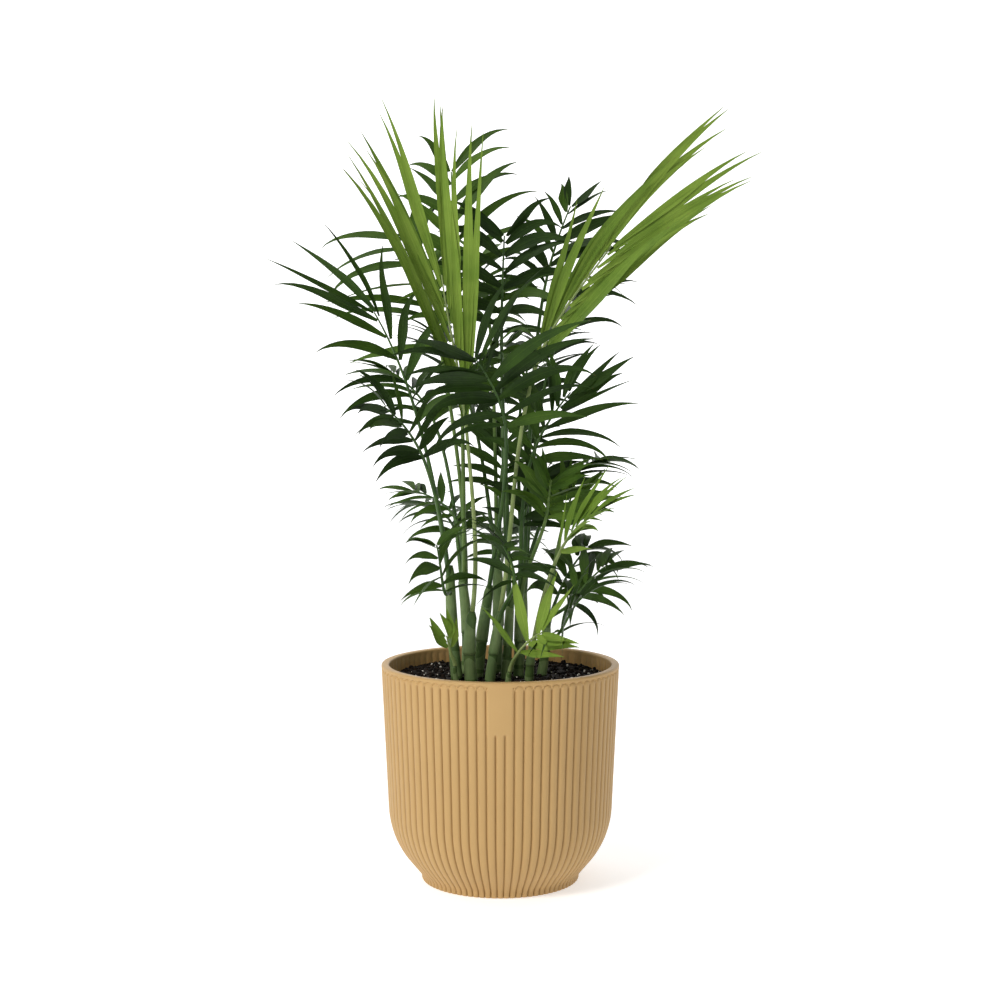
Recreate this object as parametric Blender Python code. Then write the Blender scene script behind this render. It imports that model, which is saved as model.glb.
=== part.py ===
"""A parlor palm in a ribbed pot: the pot, its soil, the canes, and each frond as one solid.

Lengths are in millimetres and angles in degrees; a mesh is scaled to metres when it is made.
The pot stands on z = 0 with its foot centred on the origin, and its front is at -Y.
"""

import math
import random
from dataclasses import dataclass

import bmesh
import bpy
from mathutils import Matrix, Vector
from mathutils.bvhtree import BVHTree

MM = 0.001

# Pot
POT_HEIGHT = 168.0
RIM_RADIUS = 92.0
RIM_WIDTH = 6.0
LIP_HEIGHT = 3.0
BELLY_RADIUS = 86.7
BELLY_HEIGHT = 56.0
WALL_DRAFT = math.atan((RIM_RADIUS - BELLY_RADIUS) / (POT_HEIGHT - BELLY_HEIGHT))
BOWL_ARC_RADIUS = 67.1
BOWL_ARC_SWEEP = 37.4
NECK_RADIUS = 63.6
NECK_HEIGHT = 8.5
FOOT_RADIUS = 60.6
FOOT_HEIGHT = 3.5
FLOOR_HEIGHT = 13.0
FLUTES = 81
FLUTE_DEPTH = 1.3
PANEL_FLUTES = 3
PANEL_BOTTOM = 130.0
PANEL_STEP = 2.0
FRONT = -90.0

# Soil
SOIL_LEVEL = 158.0
SOIL_EDGE_DROP = 1.2
SOIL_FLAT_RADIUS = 60.0
SOIL_SIDES = 54

# Plant
GAP = 0.3
CANE_SIDES = 6
PETIOLE_RADIUS = 1.9
RACHIS_END_RADIUS = 1.0
PETIOLE_STEPS = 5
LEAFLET_FOOT = 3.6
LEAFLET_THICKNESS = 1.2
THICKNESS_SHARE = 0.01
LEAFLET_WIDTHS = (1.0, 0.78, 0.3)
LEAFLET_DROOPS = (0.15, 0.35, 0.5)
CLEARANCE = 0.45
LOWEST_LEAFLET = POT_HEIGHT + 2.0
SEED = 7

# The spread of the leaflets' habits, and the turns that are tried where there is no room
SWEEP_SPREAD = 5.0
LIFT_SPREAD = 7.0
LENGTH_SPREAD = 0.09
ROLL_SPREAD = 15.0
LIFTS = (0, 5, -5, 10, -10, 16, -16, 24, -24)
SWEEPS = (0, 4, -4, 8, -8)
STALK_TURNS = (0, 30, -30, 60, -60, 90, -90, 120, -120)
STALK_SWELL = 0.5
SEAT_STEPS = 30
SEAT_STEP = 0.12

# Colours
POT_TAN = (0.58, 0.40, 0.19)
SOIL_BROWN = (0.035, 0.022, 0.015)
CANE_GREEN = (0.20, 0.26, 0.11)
TONES = {
    "deep": (0.022, 0.060, 0.010),
    "mid": (0.050, 0.120, 0.018),
    "fresh": (0.150, 0.270, 0.035),
}


@dataclass(frozen=True)
class Cane:
    """A cane from its foot on the soil to its tip."""

    name: str
    foot: tuple
    tip: tuple
    radius: float
    bow: float = 2.0


@dataclass(frozen=True)
class Frond:
    """A frond: the cane that carries it, its shoulder and tip, and the habit of its leaflets."""

    name: str
    cane: str
    seat: float
    shoulder: tuple
    tip: tuple
    face: tuple
    pairs: int
    leaflet: float
    width: float
    spread: tuple
    lift: tuple = (12.0, 12.0)
    droop: tuple = (45.0, 30.0)
    bend: tuple = (1.0, 1.0)
    taper: tuple = (0.75, 1.0, 0.75)
    sides: tuple = (1.0, 1.0)
    widest: float = 0.36
    arch: float = 0.3
    wild: float = 1.0
    tone: str = "deep"


CANES = (
    Cane("cane_left", (-33, -20), (-38, -24, 246), 4.0),
    Cane("cane_pale", (-22, -30), (-21, -33, 212), 4.4),
    Cane("cane_left_inner", (-18, -12), (-8, -14, 230), 4.3),
    Cane("cane_front", (-8, -30), (0, -32, 212), 3.6),
    Cane("cane_middle", (4, -20), (8, -20, 224), 3.4),
    Cane("cane_right_inner", (14, -10), (15, -10, 228), 3.6),
    Cane("cane_right", (22, -24), (25, -25, 188), 3.2),
    Cane("cane_back_left", (-26, 8), (-30, 14, 236), 4.0),
    Cane("cane_back_middle", (-4, 12), (-3, 18, 250), 4.2),
    Cane("cane_back_right", (14, 12), (17, 18, 238), 3.8),
    Cane("cane_far_right", (32, 0), (36, 3, 205), 3.4),
    Cane("shoot_left", (-33, -38), (-34, -40, 172), 1.8, 0.5),
    Cane("shoot_front", (6, -42), (7, -44, 168), 2.0, 0.5),
)

FRONDS = (
    # Opening fronds, pale and upright
    Frond("spear_left", "cane_pale", 1.0, (-25, -45, 349), (-43, -55, 463), (0.3, -1, 0), 7, 222,
          7.5, (8, 8, 6, 4), lift=(27, 3), droop=(24, 12), bend=(1.0, 0.3),
          taper=(1.0, 0.82, 0.62), widest=0.45, arch=-0.3, wild=0.3, tone="fresh"),
    Frond("spear_right", "cane_front", 1.0, (27, -50, 398), (82, -45, 485), (0.2, -1, 0.2), 8, 158,
          8.5, (5, 2, 15, 12), lift=(27, 3), droop=(14, 12), taper=(0.9, 1.0, 0.88), widest=0.45,
          arch=0.1, wild=0.3, tone="fresh"),
    # High fronds
    Frond("frond_top_middle", "cane_back_left", 0.97, (-31, 10, 425), (-38, 25, 547), (0, -1, 0.2),
          7, 82, 9, (62, 28, 66, 34), lift=(10, 10), droop=(50, 45), sides=(0.75, 1.0), arch=-0.2,
          tone="mid"),
    Frond("frond_top_inner", "cane_middle", 0.97, (1, -10, 420), (3, -25, 494), (0, -1, 0.3), 6,
          70, 8.5, (66, 30, 66, 30), droop=(70, 60)),
    Frond("frond_top_right", "cane_back_right", 0.97, (32, 20, 444), (55, 40, 522), (0.1, -1, 0.3),
          6, 84, 8, (58, 14, 62, 22), droop=(60, 22), taper=(1.0, 0.85, 0.55), sides=(0.62, 1.0)),
    Frond("frond_top_left", "cane_back_left", 0.88, (-46, 20, 408), (-73, 45, 496),
          (-0.1, -1, 0.2), 5, 100, 8.5, (76, 50, 50, 25), droop=(20, 45), sides=(1.0, 0.7),
          tone="mid"),
    # Left fronds
    Frond("frond_left_high", "cane_left", 0.97, (-60, -30, 350), (-93, -45, 436), (0.2, -1, 0.3),
          5, 98, 7, (56, 32, 52, -6), droop=(75, 8), taper=(0.6, 0.72, 1.0), sides=(1.0, 0.9)),
    Frond("frond_left_front", "cane_left", 0.86, (-55, -60, 325), (-82, -100, 367),
          (0.2, -0.9, 0.6), 6, 58, 8, (45, 12, 78, 22), droop=(50, 25), taper=(1.0, 1.0, 1.0),
          sides=(1.0, 0.75)),
    Frond("frond_left_back", "cane_back_left", 0.79, (-34, 25, 275), (-70, 55, 298), (0, -0.5, 1),
          5, 42, 7, (65, 25, 65, 25), droop=(50, 30)),
    Frond("frond_left_low", "cane_left", 0.74, (-41, -45, 227), (-46, -85, 267), (-0.2, -0.7, 1),
          5, 50, 8, (72, 45, 60, 20), droop=(55, 35)),
    # Middle fronds
    Frond("frond_middle_high", "cane_left_inner", 0.97, (4, -60, 350), (-18, -100, 402),
          (0, -1, 0.5), 6, 104, 9, (62, 16, 80, 50), droop=(60, 30), taper=(0.6, 0.8, 1.0)),
    Frond("frond_middle_inner", "cane_middle", 0.86, (2, -35, 371), (0, -75, 415), (0, -1, 0.6), 5,
          52, 12, (60, 30, 60, 30), droop=(95, 80)),
    Frond("frond_middle_low", "cane_front", 0.85, (10, -60, 235), (2, -105, 269), (0, -0.8, 0.9),
          6, 50, 9, (72, 20, 72, 30), droop=(45, 15)),
    Frond("frond_middle_back", "cane_back_middle", 0.97, (0, 25, 300), (6, 50, 347),
          (0, -0.8, 0.6), 6, 56, 8.5, (66, 30, 66, 30), droop=(50, 35)),
    Frond("frond_middle_dark", "cane_right_inner", 0.78, (17, 5, 271), (29, 10, 311), (0, -1, 0.4),
          5, 52, 9, (60, 28, 60, 28), droop=(50, 30)),
    # Right fronds
    Frond("frond_right_high", "cane_right_inner", 0.97, (22, -25, 322), (53, -20, 377),
          (0.1, -1, 0.3), 6, 74, 8, (62, 20, 52, 8), droop=(60, 12), sides=(0.85, 1.0)),
    Frond("frond_right_middle", "cane_right_inner", 0.88, (34, -30, 281), (38, -45, 312),
          (0.1, -1, 0.4), 5, 54, 8, (45, 10, 66, 35), droop=(50, 15), tone="mid"),
    Frond("frond_right_bright", "cane_far_right", 0.97, (47, -5, 271), (57, 0, 302), (0, -1, 0.3),
          4, 44, 7.5, (50, 10, 60, 25), droop=(30, 10), tone="mid"),
    Frond("frond_right_front", "cane_right", 0.97, (43, -60, 258), (66, -95, 289), (0, -0.7, 0.8),
          5, 66, 6, (40, 4, 40, 12), droop=(14, 8), wild=0.7, tone="fresh"),
    Frond("frond_right_low", "cane_far_right", 0.84, (50, -15, 213), (83, 5, 243), (0, -0.6, 1), 6,
          52, 6.5, (58, 18, 58, 20), droop=(55, 35)),
    Frond("frond_right_lower", "cane_right", 0.8, (39, -45, 192), (60, -75, 228), (0.2, -0.6, 1),
          5, 60, 6.5, (55, 20, 66, 35), droop=(55, 55)),
    Frond("frond_right_hanging", "cane_far_right", 0.7, (44, 15, 216), (69, 35, 254), (0, -0.6, 1),
          5, 48, 10, (60, 30, 60, 30), droop=(85, 70)),
    # Back fronds
    Frond("frond_back_high_left", "cane_back_middle", 0.88, (-20, 50, 350), (-50, 115, 420),
          (0, 0.5, 1), 7, 75, 8.5, (62, 30, 62, 30), droop=(60, 40)),
    Frond("frond_back_high_right", "cane_back_right", 0.88, (15, 55, 350), (30, 125, 420),
          (0, 0.5, 1), 7, 75, 8.5, (62, 30, 62, 30), droop=(60, 40)),
    Frond("frond_back_right", "cane_back_right", 0.78, (40, 45, 290), (80, 100, 320),
          (0.3, 0.4, 1), 6, 62, 8.5, (62, 30, 62, 30), droop=(60, 40)),
    Frond("frond_back_left", "cane_back_left", 0.7, (-34, 45, 262), (-62, 100, 285),
          (-0.3, 0.4, 1), 6, 55, 8.5, (62, 30, 62, 30), droop=(60, 40)),
    Frond("frond_back_low", "cane_back_middle", 0.78, (2, 50, 245), (0, 110, 262), (0, 0.3, 1), 6,
          58, 8.5, (62, 30, 62, 30), droop=(60, 40)),
    Frond("frond_back_top", "cane_back_middle", 0.8, (-8, 62, 425), (-18, 118, 487), (0, 0.4, 1),
          6, 70, 8.5, (62, 26, 62, 26), droop=(55, 35), tone="mid"),
    Frond("frond_back_top_right", "cane_back_right", 0.68, (40, 62, 400), (72, 98, 455),
          (0.2, 0.4, 1), 6, 62, 8.5, (60, 26, 60, 26), droop=(55, 35)),
    Frond("frond_back_side", "cane_back_left", 0.6, (-52, 62, 350), (-88, 98, 392), (-0.3, 0.3, 1),
          6, 60, 8.5, (60, 26, 60, 26), droop=(55, 35)),
    # Young shoots
    Frond("shoot_left_blades", "shoot_left", 1.0, (-37, -44, 182), (-40, -50, 196), (0, -1, 0.2),
          2, 34, 6, (22, 12, 22, 4), droop=(10, 6), wild=0.5, tone="fresh"),
    Frond("shoot_front_blades", "shoot_front", 1.0, (12, -54, 182), (31, -72, 202), (0, -1, 0.6),
          3, 60, 8, (80, 40, 40, 25), droop=(8, 4), wild=0.5, tone="fresh"),
)


def along(start: Vector, end: Vector, share: float) -> Vector:
    """The point at a share of the way between two others."""
    return start.lerp(end, share)


def bezier(p0: Vector, p1: Vector, p2: Vector, p3: Vector, u: float) -> Vector:
    """The point at u on a cubic curve."""
    v = 1.0 - u
    return p0 * v**3 + p1 * (3 * v * v * u) + p2 * (3 * v * u * u) + p3 * u**3


def square_to(direction: Vector, hint: Vector) -> Vector:
    """The unit vector square to a direction that is nearest to a hint."""
    return (hint - direction * hint.dot(direction)).normalized()


def three_point(low: float, middle: float, high: float, u: float) -> float:
    """A value that runs from low through middle to high as u goes from 0 to 1."""
    return low + (middle - low) * u * 2 if u < 0.5 else middle + (high - middle) * (u * 2 - 1)


def material(name: str, colour: tuple, roughness: float) -> bpy.types.Material:
    """A plain surface of one colour."""
    made = bpy.data.materials.new(name)
    made.use_nodes = True
    shader = made.node_tree.nodes["Principled BSDF"]
    shader.inputs["Base Color"].default_value = (*colour, 1.0)
    shader.inputs["Roughness"].default_value = roughness
    shader.inputs["Metallic"].default_value = 0.0
    return made


def finish(bm: bmesh.types.BMesh, name: str, surface: bpy.types.Material, sharp: float) -> bpy.types.Object:
    """Turns a mesh built in millimetres into an object in metres, shaded smooth up to an angle."""
    bmesh.ops.transform(bm, matrix=Matrix.Scale(MM, 4), verts=bm.verts)
    mesh = bpy.data.meshes.new(name)
    bm.to_mesh(mesh)
    bm.free()
    mesh.shade_smooth()
    mesh.set_sharp_from_angle(angle=math.radians(sharp))
    mesh.materials.append(surface)
    made = bpy.data.objects.new(name, mesh)
    bpy.context.scene.collection.objects.link(made)
    return made


class Placed:
    """What already stands in the crown, for a new leaflet or stalk to keep clear of."""

    def __init__(self):
        self.solids = []

    def add(self, points: list, faces: list, owner: str = "") -> None:
        """Notes a solid, with the name of the frond whose stalk it is."""
        low, high = box_of(points)
        self.solids.append((owner, low, high, BVHTree.FromPolygons(points, faces)))

    def touches(self, points: list, faces: list, wanted=lambda owner: True) -> bool:
        """Whether a solid's surface meets any wanted one that was noted before."""
        low, high = box_of(points)
        tree = None
        for owner, other_low, other_high, other in self.solids:
            near = all(low[i] <= other_high[i] and other_low[i] <= high[i] for i in range(3))
            if near and wanted(owner):
                tree = tree or BVHTree.FromPolygons(points, faces)
                if tree.overlap(other):
                    return True
        return False


def box_of(points: list) -> tuple:
    """The lowest and highest corner of some points."""
    low = [min(p[i] for p in points) for i in range(3)]
    high = [max(p[i] for p in points) for i in range(3)]
    return low, high


# Pot and soil


def bowl_arc(steps: int) -> list:
    """Radius and height down the bowl's round side, from the belly to the neck."""
    centre_radius = BELLY_RADIUS - BOWL_ARC_RADIUS * math.cos(WALL_DRAFT)
    centre_height = BELLY_HEIGHT + BOWL_ARC_RADIUS * math.sin(WALL_DRAFT)
    points = []
    for i in range(steps + 1):
        angle = WALL_DRAFT + math.radians(BOWL_ARC_SWEEP) * i / steps
        points.append((centre_radius + BOWL_ARC_RADIUS * math.cos(angle),
                       centre_height - BOWL_ARC_RADIUS * math.sin(angle)))
    return points


def wall_radius(height: float) -> float:
    """Outer radius of the pot's straight wall at a height."""
    return BELLY_RADIUS + (height - BELLY_HEIGHT) * math.tan(WALL_DRAFT)


def inner_profile(gap: float) -> list:
    """Radius and height down the pot's inner side, drawn in by a gap."""
    down = [(wall_radius(SOIL_LEVEL) - RIM_WIDTH, SOIL_LEVEL), (BELLY_RADIUS - RIM_WIDTH, BELLY_HEIGHT)]
    bowl = bowl_arc(3)
    down += [(radius - RIM_WIDTH, height) for radius, height in bowl[1:3]]
    down.append((NECK_RADIUS - RIM_WIDTH, FLOOR_HEIGHT + gap))
    return [(radius - gap, height) for radius, height in down]


def turned_ring(bm: bmesh.types.BMesh, count: int, height: float, radius_at) -> list:
    """A level ring of points whose radius is a function of the turn in degrees."""
    ring = []
    for i in range(count):
        turn = FRONT + 360.0 * i / count
        radius = radius_at(i)
        angle = math.radians(turn)
        ring.append(bm.verts.new((radius * math.cos(angle), radius * math.sin(angle), height)))
    return ring


def bridge(bm: bmesh.types.BMesh, lower: list, upper: list) -> None:
    """Faces between two rings, where the lower has as many points as the upper or twice as many."""
    step = len(lower) // len(upper)
    for i in range(len(upper)):
        j = (i + 1) % len(upper)
        below = [lower[(i * step + k) % len(lower)] for k in range(step + 1)]
        bm.faces.new([*below, upper[j], upper[i]])


def join_rings(bm: bmesh.types.BMesh, rings: list) -> None:
    """Bridges each ring to the next and closes both ends."""
    for lower, upper in zip(rings, rings[1:]):
        bridge(bm, lower, upper)
    bm.faces.new(list(reversed(rings[0])))
    bm.faces.new(rings[-1])


def panel_turn(point: Vector) -> float:
    """How far round the pot a point lies from the middle of its front, in degrees."""
    return abs(math.degrees(math.atan2(point.y, point.x)) - FRONT)


def smooth_panel(bm: bmesh.types.BMesh, lip: float) -> None:
    """Fills the grooves of the bare panel in front, from under the lip down to the panel's end."""
    half_panel = PANEL_FLUTES * 180.0 / FLUTES
    wall = []
    for face in bm.faces:
        middle = face.calc_center_median()
        outside = middle.xy.length > wall_radius(middle.z) - RIM_WIDTH / 2
        if outside and BELLY_HEIGHT < middle.z < lip - 1.0 and panel_turn(middle) < half_panel:
            wall.append(face)
    for height in (PANEL_BOTTOM, PANEL_BOTTOM - PANEL_STEP):
        part = {item for face in wall if face.is_valid for item in (face, *face.edges, *face.verts)}
        cut = bmesh.ops.bisect_plane(bm, geom=list(part), plane_co=(0, 0, height), plane_no=(0, 0, 1))
        wall = [item for item in cut["geom"] if isinstance(item, bmesh.types.BMFace)]
    for vert in bm.verts:
        radius = vert.co.xy.length
        outside = radius > wall_radius(vert.co.z) - RIM_WIDTH / 2
        level = PANEL_BOTTOM - 0.5 < vert.co.z < lip - 0.5
        if outside and level and panel_turn(vert.co) < half_panel - 0.5:
            vert.co.xy = vert.co.xy * (wall_radius(vert.co.z) / radius)


def build_pot() -> bpy.types.Object:
    """The ribbed pot: foot, bowl, straight wall, smooth lip and inner side, with a bare panel in front."""
    bm = bmesh.new()

    def fluted(radius: float, share: float):
        return lambda i: radius - (FLUTE_DEPTH * share if i % 2 else 0.0)

    lip = POT_HEIGHT - LIP_HEIGHT
    outer = [(FOOT_RADIUS, 0.0, 0.7), (FOOT_RADIUS + 0.8, FOOT_HEIGHT, 0.9)]
    outer.append((NECK_RADIUS, NECK_HEIGHT, 1.0))
    outer += [(radius, height, 1.0) for radius, height in reversed(bowl_arc(4))]
    outer.append((wall_radius(lip - 1.0), lip - 1.0, 1.0))
    outer += [(wall_radius(lip), lip, 0.0), (RIM_RADIUS, POT_HEIGHT, 0.0)]
    rings = [turned_ring(bm, 2 * FLUTES, height, fluted(radius, share)) for radius, height, share in outer]
    inner = [(RIM_RADIUS - RIM_WIDTH, POT_HEIGHT)] + inner_profile(0.0)
    rings += [turned_ring(bm, FLUTES, height, lambda i, radius=radius: radius) for radius, height in inner]
    join_rings(bm, rings)
    smooth_panel(bm, lip)
    return finish(bm, "pot", material("pot_tan", POT_TAN, 0.55), 25.0)


def build_soil() -> bpy.types.Object:
    """The soil that fills the pot, level where the canes stand and a little lower at the wall."""
    bm = bmesh.new()
    profile = inner_profile(GAP + 0.1)
    edge_radius = profile[0][0]
    profile[0] = (edge_radius, SOIL_LEVEL - SOIL_EDGE_DROP)
    levels = list(reversed(profile)) + [(SOIL_FLAT_RADIUS, SOIL_LEVEL)]
    rings = []
    for radius, height in levels:
        rings.append(turned_ring(bm, SOIL_SIDES, height, lambda i, radius=radius: radius))
    join_rings(bm, rings)
    return finish(bm, "potting_soil", material("soil_brown", SOIL_BROWN, 0.95), 40.0)


# Canes and stalks


def cane_axis(cane: Cane, u: float) -> Vector:
    """The point at u on a cane's axis, from a foot just clear of the soil."""
    foot = Vector((*cane.foot, SOIL_LEVEL + GAP))
    tip = Vector(cane.tip)
    side = Vector((tip.y - foot.y, foot.x - tip.x, 0.0))
    side = side.normalized() if side.length > 0.0 else Vector((1, 0, 0))
    return along(foot, tip, u) + side * cane.bow * math.sin(math.pi * u)


def ring_points(centre: Vector, normal: Vector, side: Vector, radius: float, count: int) -> list:
    """Points round a centre, the first of them opposite the normal."""
    points = []
    for i in range(count):
        angle = 2 * math.pi * i / count
        points.append(centre - normal * radius * math.cos(angle) + side * radius * math.sin(angle))
    return points


def tube_shell(rings: list) -> tuple:
    """Points and faces of a closed tube through some rings of points."""
    count = len(rings[0])
    points = [point for ring in rings for point in ring]
    faces = []
    for k in range(len(rings) - 1):
        for i in range(count):
            j = (i + 1) % count
            a, b = k * count + i, k * count + j
            faces.append((a, b, b + count, a + count))
    faces.append(tuple(reversed(range(count))))
    faces.append(tuple(range((len(rings) - 1) * count, len(rings) * count)))
    return points, faces


def build_cane(cane: Cane, placed: Placed, surface: bpy.types.Material) -> bpy.types.Object:
    """A cane: a tapered tube with a flat foot and a drawn-in tip."""
    rings = []
    for u, share in ((0.0, 1.12), (0.12, 1.0), (0.5, 0.94), (0.92, 0.86), (1.0, 0.5)):
        rings.append(ring_points(cane_axis(cane, u), Vector((0, 1, 0)), Vector((1, 0, 0)),
                                 cane.radius * share, CANE_SIDES))
    points, faces = tube_shell(rings)
    placed.add(points, faces)
    bm = bmesh.new()
    verts = [bm.verts.new(point) for point in points]
    for face in faces:
        bm.faces.new([verts[i] for i in face])
    return finish(bm, cane.name, surface, 40.0)


# Fronds


@dataclass
class Station:
    """One place along a frond's stalk: its centre, the frame there and the stalk's radius."""

    centre: Vector
    ahead: Vector
    normal: Vector
    side: Vector
    radius: float


def stalk_curve(frond: Frond, cane: Cane, turn: float, inset: float):
    """The frond's stalk as a function: 0 to 1 is the petiole, 1 to 2 the rachis."""
    seat = cane_axis(cane, frond.seat)
    rise = (cane_axis(cane, 1.0) - cane_axis(cane, 0.8)).normalized()
    shoulder = Vector(frond.shoulder)
    tip = Vector(frond.tip)
    if frond.seat < 1.0:
        out = square_to(rise, shoulder - seat)
        out = Matrix.Rotation(math.radians(turn), 3, rise) @ out
        seat = seat + out * (cane.radius + PETIOLE_RADIUS + GAP - inset)
        leave = (rise + out * 0.12).normalized()
    else:
        seat = seat + rise * GAP
        leave = rise
    reach = (shoulder - seat).length
    length = (tip - shoulder).length
    through = ((shoulder - seat).normalized() * 0.6 + (tip - shoulder).normalized() * 0.4).normalized()
    fall = Vector((0, 0, -1))
    end = ((tip - shoulder).normalized() + fall * frond.arch).normalized()

    def point(u: float) -> Vector:
        if u <= 1.0:
            return bezier(seat, seat + leave * reach / 3, shoulder - through * reach / 3, shoulder, u)
        return bezier(shoulder, shoulder + through * length / 3, tip - end * length / 3, tip, u - 1.0)

    return point


def station(frond: Frond, point, u: float) -> Station:
    """The frame of a stalk at u."""
    step = 0.01
    centre = point(u)
    ahead = (point(min(u + step, 2.0)) - point(max(u - step, 0.0))).normalized()
    normal = square_to(ahead, Vector(frond.face))
    share = u / 2.0
    radius = PETIOLE_RADIUS + (RACHIS_END_RADIUS - PETIOLE_RADIUS) * share
    return Station(centre, ahead, normal, ahead.cross(normal), radius)


def stalk_stations(frond: Frond, point) -> tuple:
    """The stations of a stalk, and for each pair of leaflets the index of its foot and its place."""
    length = (Vector(frond.tip) - Vector(frond.shoulder)).length
    half_foot = LEAFLET_FOOT / 2 / length
    places = [i / PETIOLE_STEPS for i in range(PETIOLE_STEPS)]
    feet = []
    for k in range(frond.pairs):
        u = (k + 0.5) / frond.pairs
        feet.append((len(places), u))
        places += [1 + u - half_foot, 1 + u + half_foot]
    stations = [station(frond, point, u) for u in places]
    for k in reversed(range(PETIOLE_STEPS)):
        stations[k].normal = square_to(stations[k].ahead, stations[k + 1].normal)
        stations[k].side = stations[k].ahead.cross(stations[k].normal)
    return stations, feet


def stalk_rings(stations: list, swell: float = 0.0) -> list:
    """Three-sided rings: a keel under the stalk and two corners beside its flat top."""
    return [ring_points(s.centre, s.normal, s.side, s.radius + swell, 3) for s in stations]


def leaflet_foot(stations: list, k: int, hand: int) -> list:
    """The stalk's corners that a leaflet grows from: near bottom, near top, far top, far bottom."""
    top = 1 if hand > 0 else 2
    near, far = stalk_rings(stations[k : k + 2])
    return [near[0], near[top], far[top], far[0]]


def leaflet_rings(frond: Frond, at: Station, hand: int, u: float, habit: tuple) -> list:
    """Two rings of four corners and a tip for the leaflet on one hand of a stalk.

    Each ring lists near bottom, near top, far top, far bottom. The habit is the leaflet's own
    sweep, lift, share of length and roll.
    """
    sweep, lift, stretch, roll = habit
    first, last = (frond.spread[0], frond.spread[1]) if hand < 0 else (frond.spread[2], frond.spread[3])
    angle = math.radians(first + (last - first) * u + sweep)
    raised = math.radians(frond.lift[0] + (frond.lift[1] - frond.lift[0]) * u + lift)
    out = at.side * hand
    beside = out * math.cos(raised) + at.normal * math.sin(raised)
    ahead = (at.ahead * math.cos(angle) + beside * math.sin(angle)).normalized()
    normal = square_to(ahead, at.normal * math.cos(raised) - out * math.sin(raised))
    normal = Matrix.Rotation(math.radians(roll) * hand, 3, ahead) @ normal
    length = frond.leaflet * three_point(*frond.taper, u) * stretch * frond.sides[0 if hand < 0 else 1]
    width = frond.width * (0.85 + 0.15 * math.sin(math.pi * u))
    fall = Vector((0, 0, -1)) + out * 0.35
    aside = max(0.0, math.cos(angle * 2))
    inward = at.ahead * math.sin(angle) - beside * math.cos(angle)
    centre = at.centre + out * at.radius * 0.6
    shares = (frond.widest, (1.0 - frond.widest) * 0.5, (1.0 - frond.widest) * 0.5)
    drooping = (frond.droop[0] + (frond.droop[1] - frond.droop[0]) * u) * frond.bend[0 if hand < 0 else 1]
    thickness = max(LEAFLET_THICKNESS, length * THICKNESS_SHARE)
    rings = []
    for share, bend, broad in zip(shares, LEAFLET_DROOPS, LEAFLET_WIDTHS):
        down = square_to(ahead, fall)
        turn = math.radians(drooping) * bend
        ahead = (ahead * math.cos(turn) + down * math.sin(turn)).normalized()
        normal = square_to(ahead, normal)
        centre = centre + ahead * length * share
        across = ahead.cross(normal)
        if across.dot(inward) < 0:
            across = -across
        inward = across
        half = across * width * broad / 2
        thick = normal * thickness / 2
        middle = centre + out * aside * width * broad / 2
        near, far = middle - half, middle + half
        rings.append([near - thick, near + thick, far + thick, far - thick])
    rings[-1] = centre
    return rings


def leaflet_shell(foot: list, rings: list, root_share: float, swell: float = CLEARANCE) -> tuple:
    """A closed copy of a leaflet, swollen a little, from a share of the way to its widest place."""
    middle = sum(rings[0], Vector()) / 4
    start = [along(root, corner, root_share) for root, corner in zip(foot, rings[0])]
    swollen = []
    for ring in (start, rings[0], rings[1]):
        centre = sum(ring, Vector()) / 4
        swollen.append([corner + (corner - centre).normalized() * swell for corner in ring])
    end = rings[2] + (rings[2] - middle).normalized() * swell
    points = [corner for ring in swollen for corner in ring] + [end]
    faces = []
    for k in (0, 4):
        for i in range(4):
            j = (i + 1) % 4
            faces.append((k + i, k + j, k + 4 + j, k + 4 + i))
    faces += [(8 + i, 8 + (i + 1) % 4, 12) for i in range(4)]
    faces.append((3, 2, 1, 0))
    return points, faces


def settle_stalk(frond: Frond, cane: Cane, placed: Placed) -> tuple:
    """The stalk's stations and pair places, turned round its cane until it is clear of what stands."""
    for turn in STALK_TURNS:
        settled = None
        for step in range(SEAT_STEPS):
            point = stalk_curve(frond, cane, turn, step * SEAT_STEP)
            stations, feet = stalk_stations(frond, point)
            swollen = stalk_rings(stations, STALK_SWELL)
            if placed.touches(*tube_shell(swollen)):
                break
            settled = stations, feet
        if settled:
            placed.add(*tube_shell(stalk_rings(settled[0])), frond.name)
            return settled
    raise ValueError(f"{frond.name} finds no clear way for its stalk")


def settle_leaflet(frond: Frond, stations: list, k: int, hand: int, u: float,
                   draw: random.Random, placed: Placed) -> list | None:
    """The leaflet's rings in the first habit that is clear, or None where there is no room."""
    foot = leaflet_foot(stations, k, hand)
    spreads = (SWEEP_SPREAD * frond.wild, LIFT_SPREAD * frond.wild, LENGTH_SPREAD, ROLL_SPREAD)
    own_sweep, own_lift, own_length, roll = [draw.uniform(-spread, spread) for spread in spreads]
    for sweep in SWEEPS:
        for lift in LIFTS:
            habit = (own_sweep + sweep, own_lift + lift, 1.0 + own_length, roll)
            rings = leaflet_rings(frond, stations[k], hand, u, habit)
            points, faces = leaflet_shell(foot, rings, 0.03)
            if min(point.z for point in points) < LOWEST_LEAFLET:
                continue
            if placed.touches(points, faces, lambda owner: owner != frond.name):
                continue
            shells = (leaflet_shell(foot, rings, 0.22), leaflet_shell(foot, rings, 0.04, 0.0))
            if not any(placed.touches(*shell, lambda owner: owner == frond.name) for shell in shells):
                placed.add(points, faces)
                return rings
    return None


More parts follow.
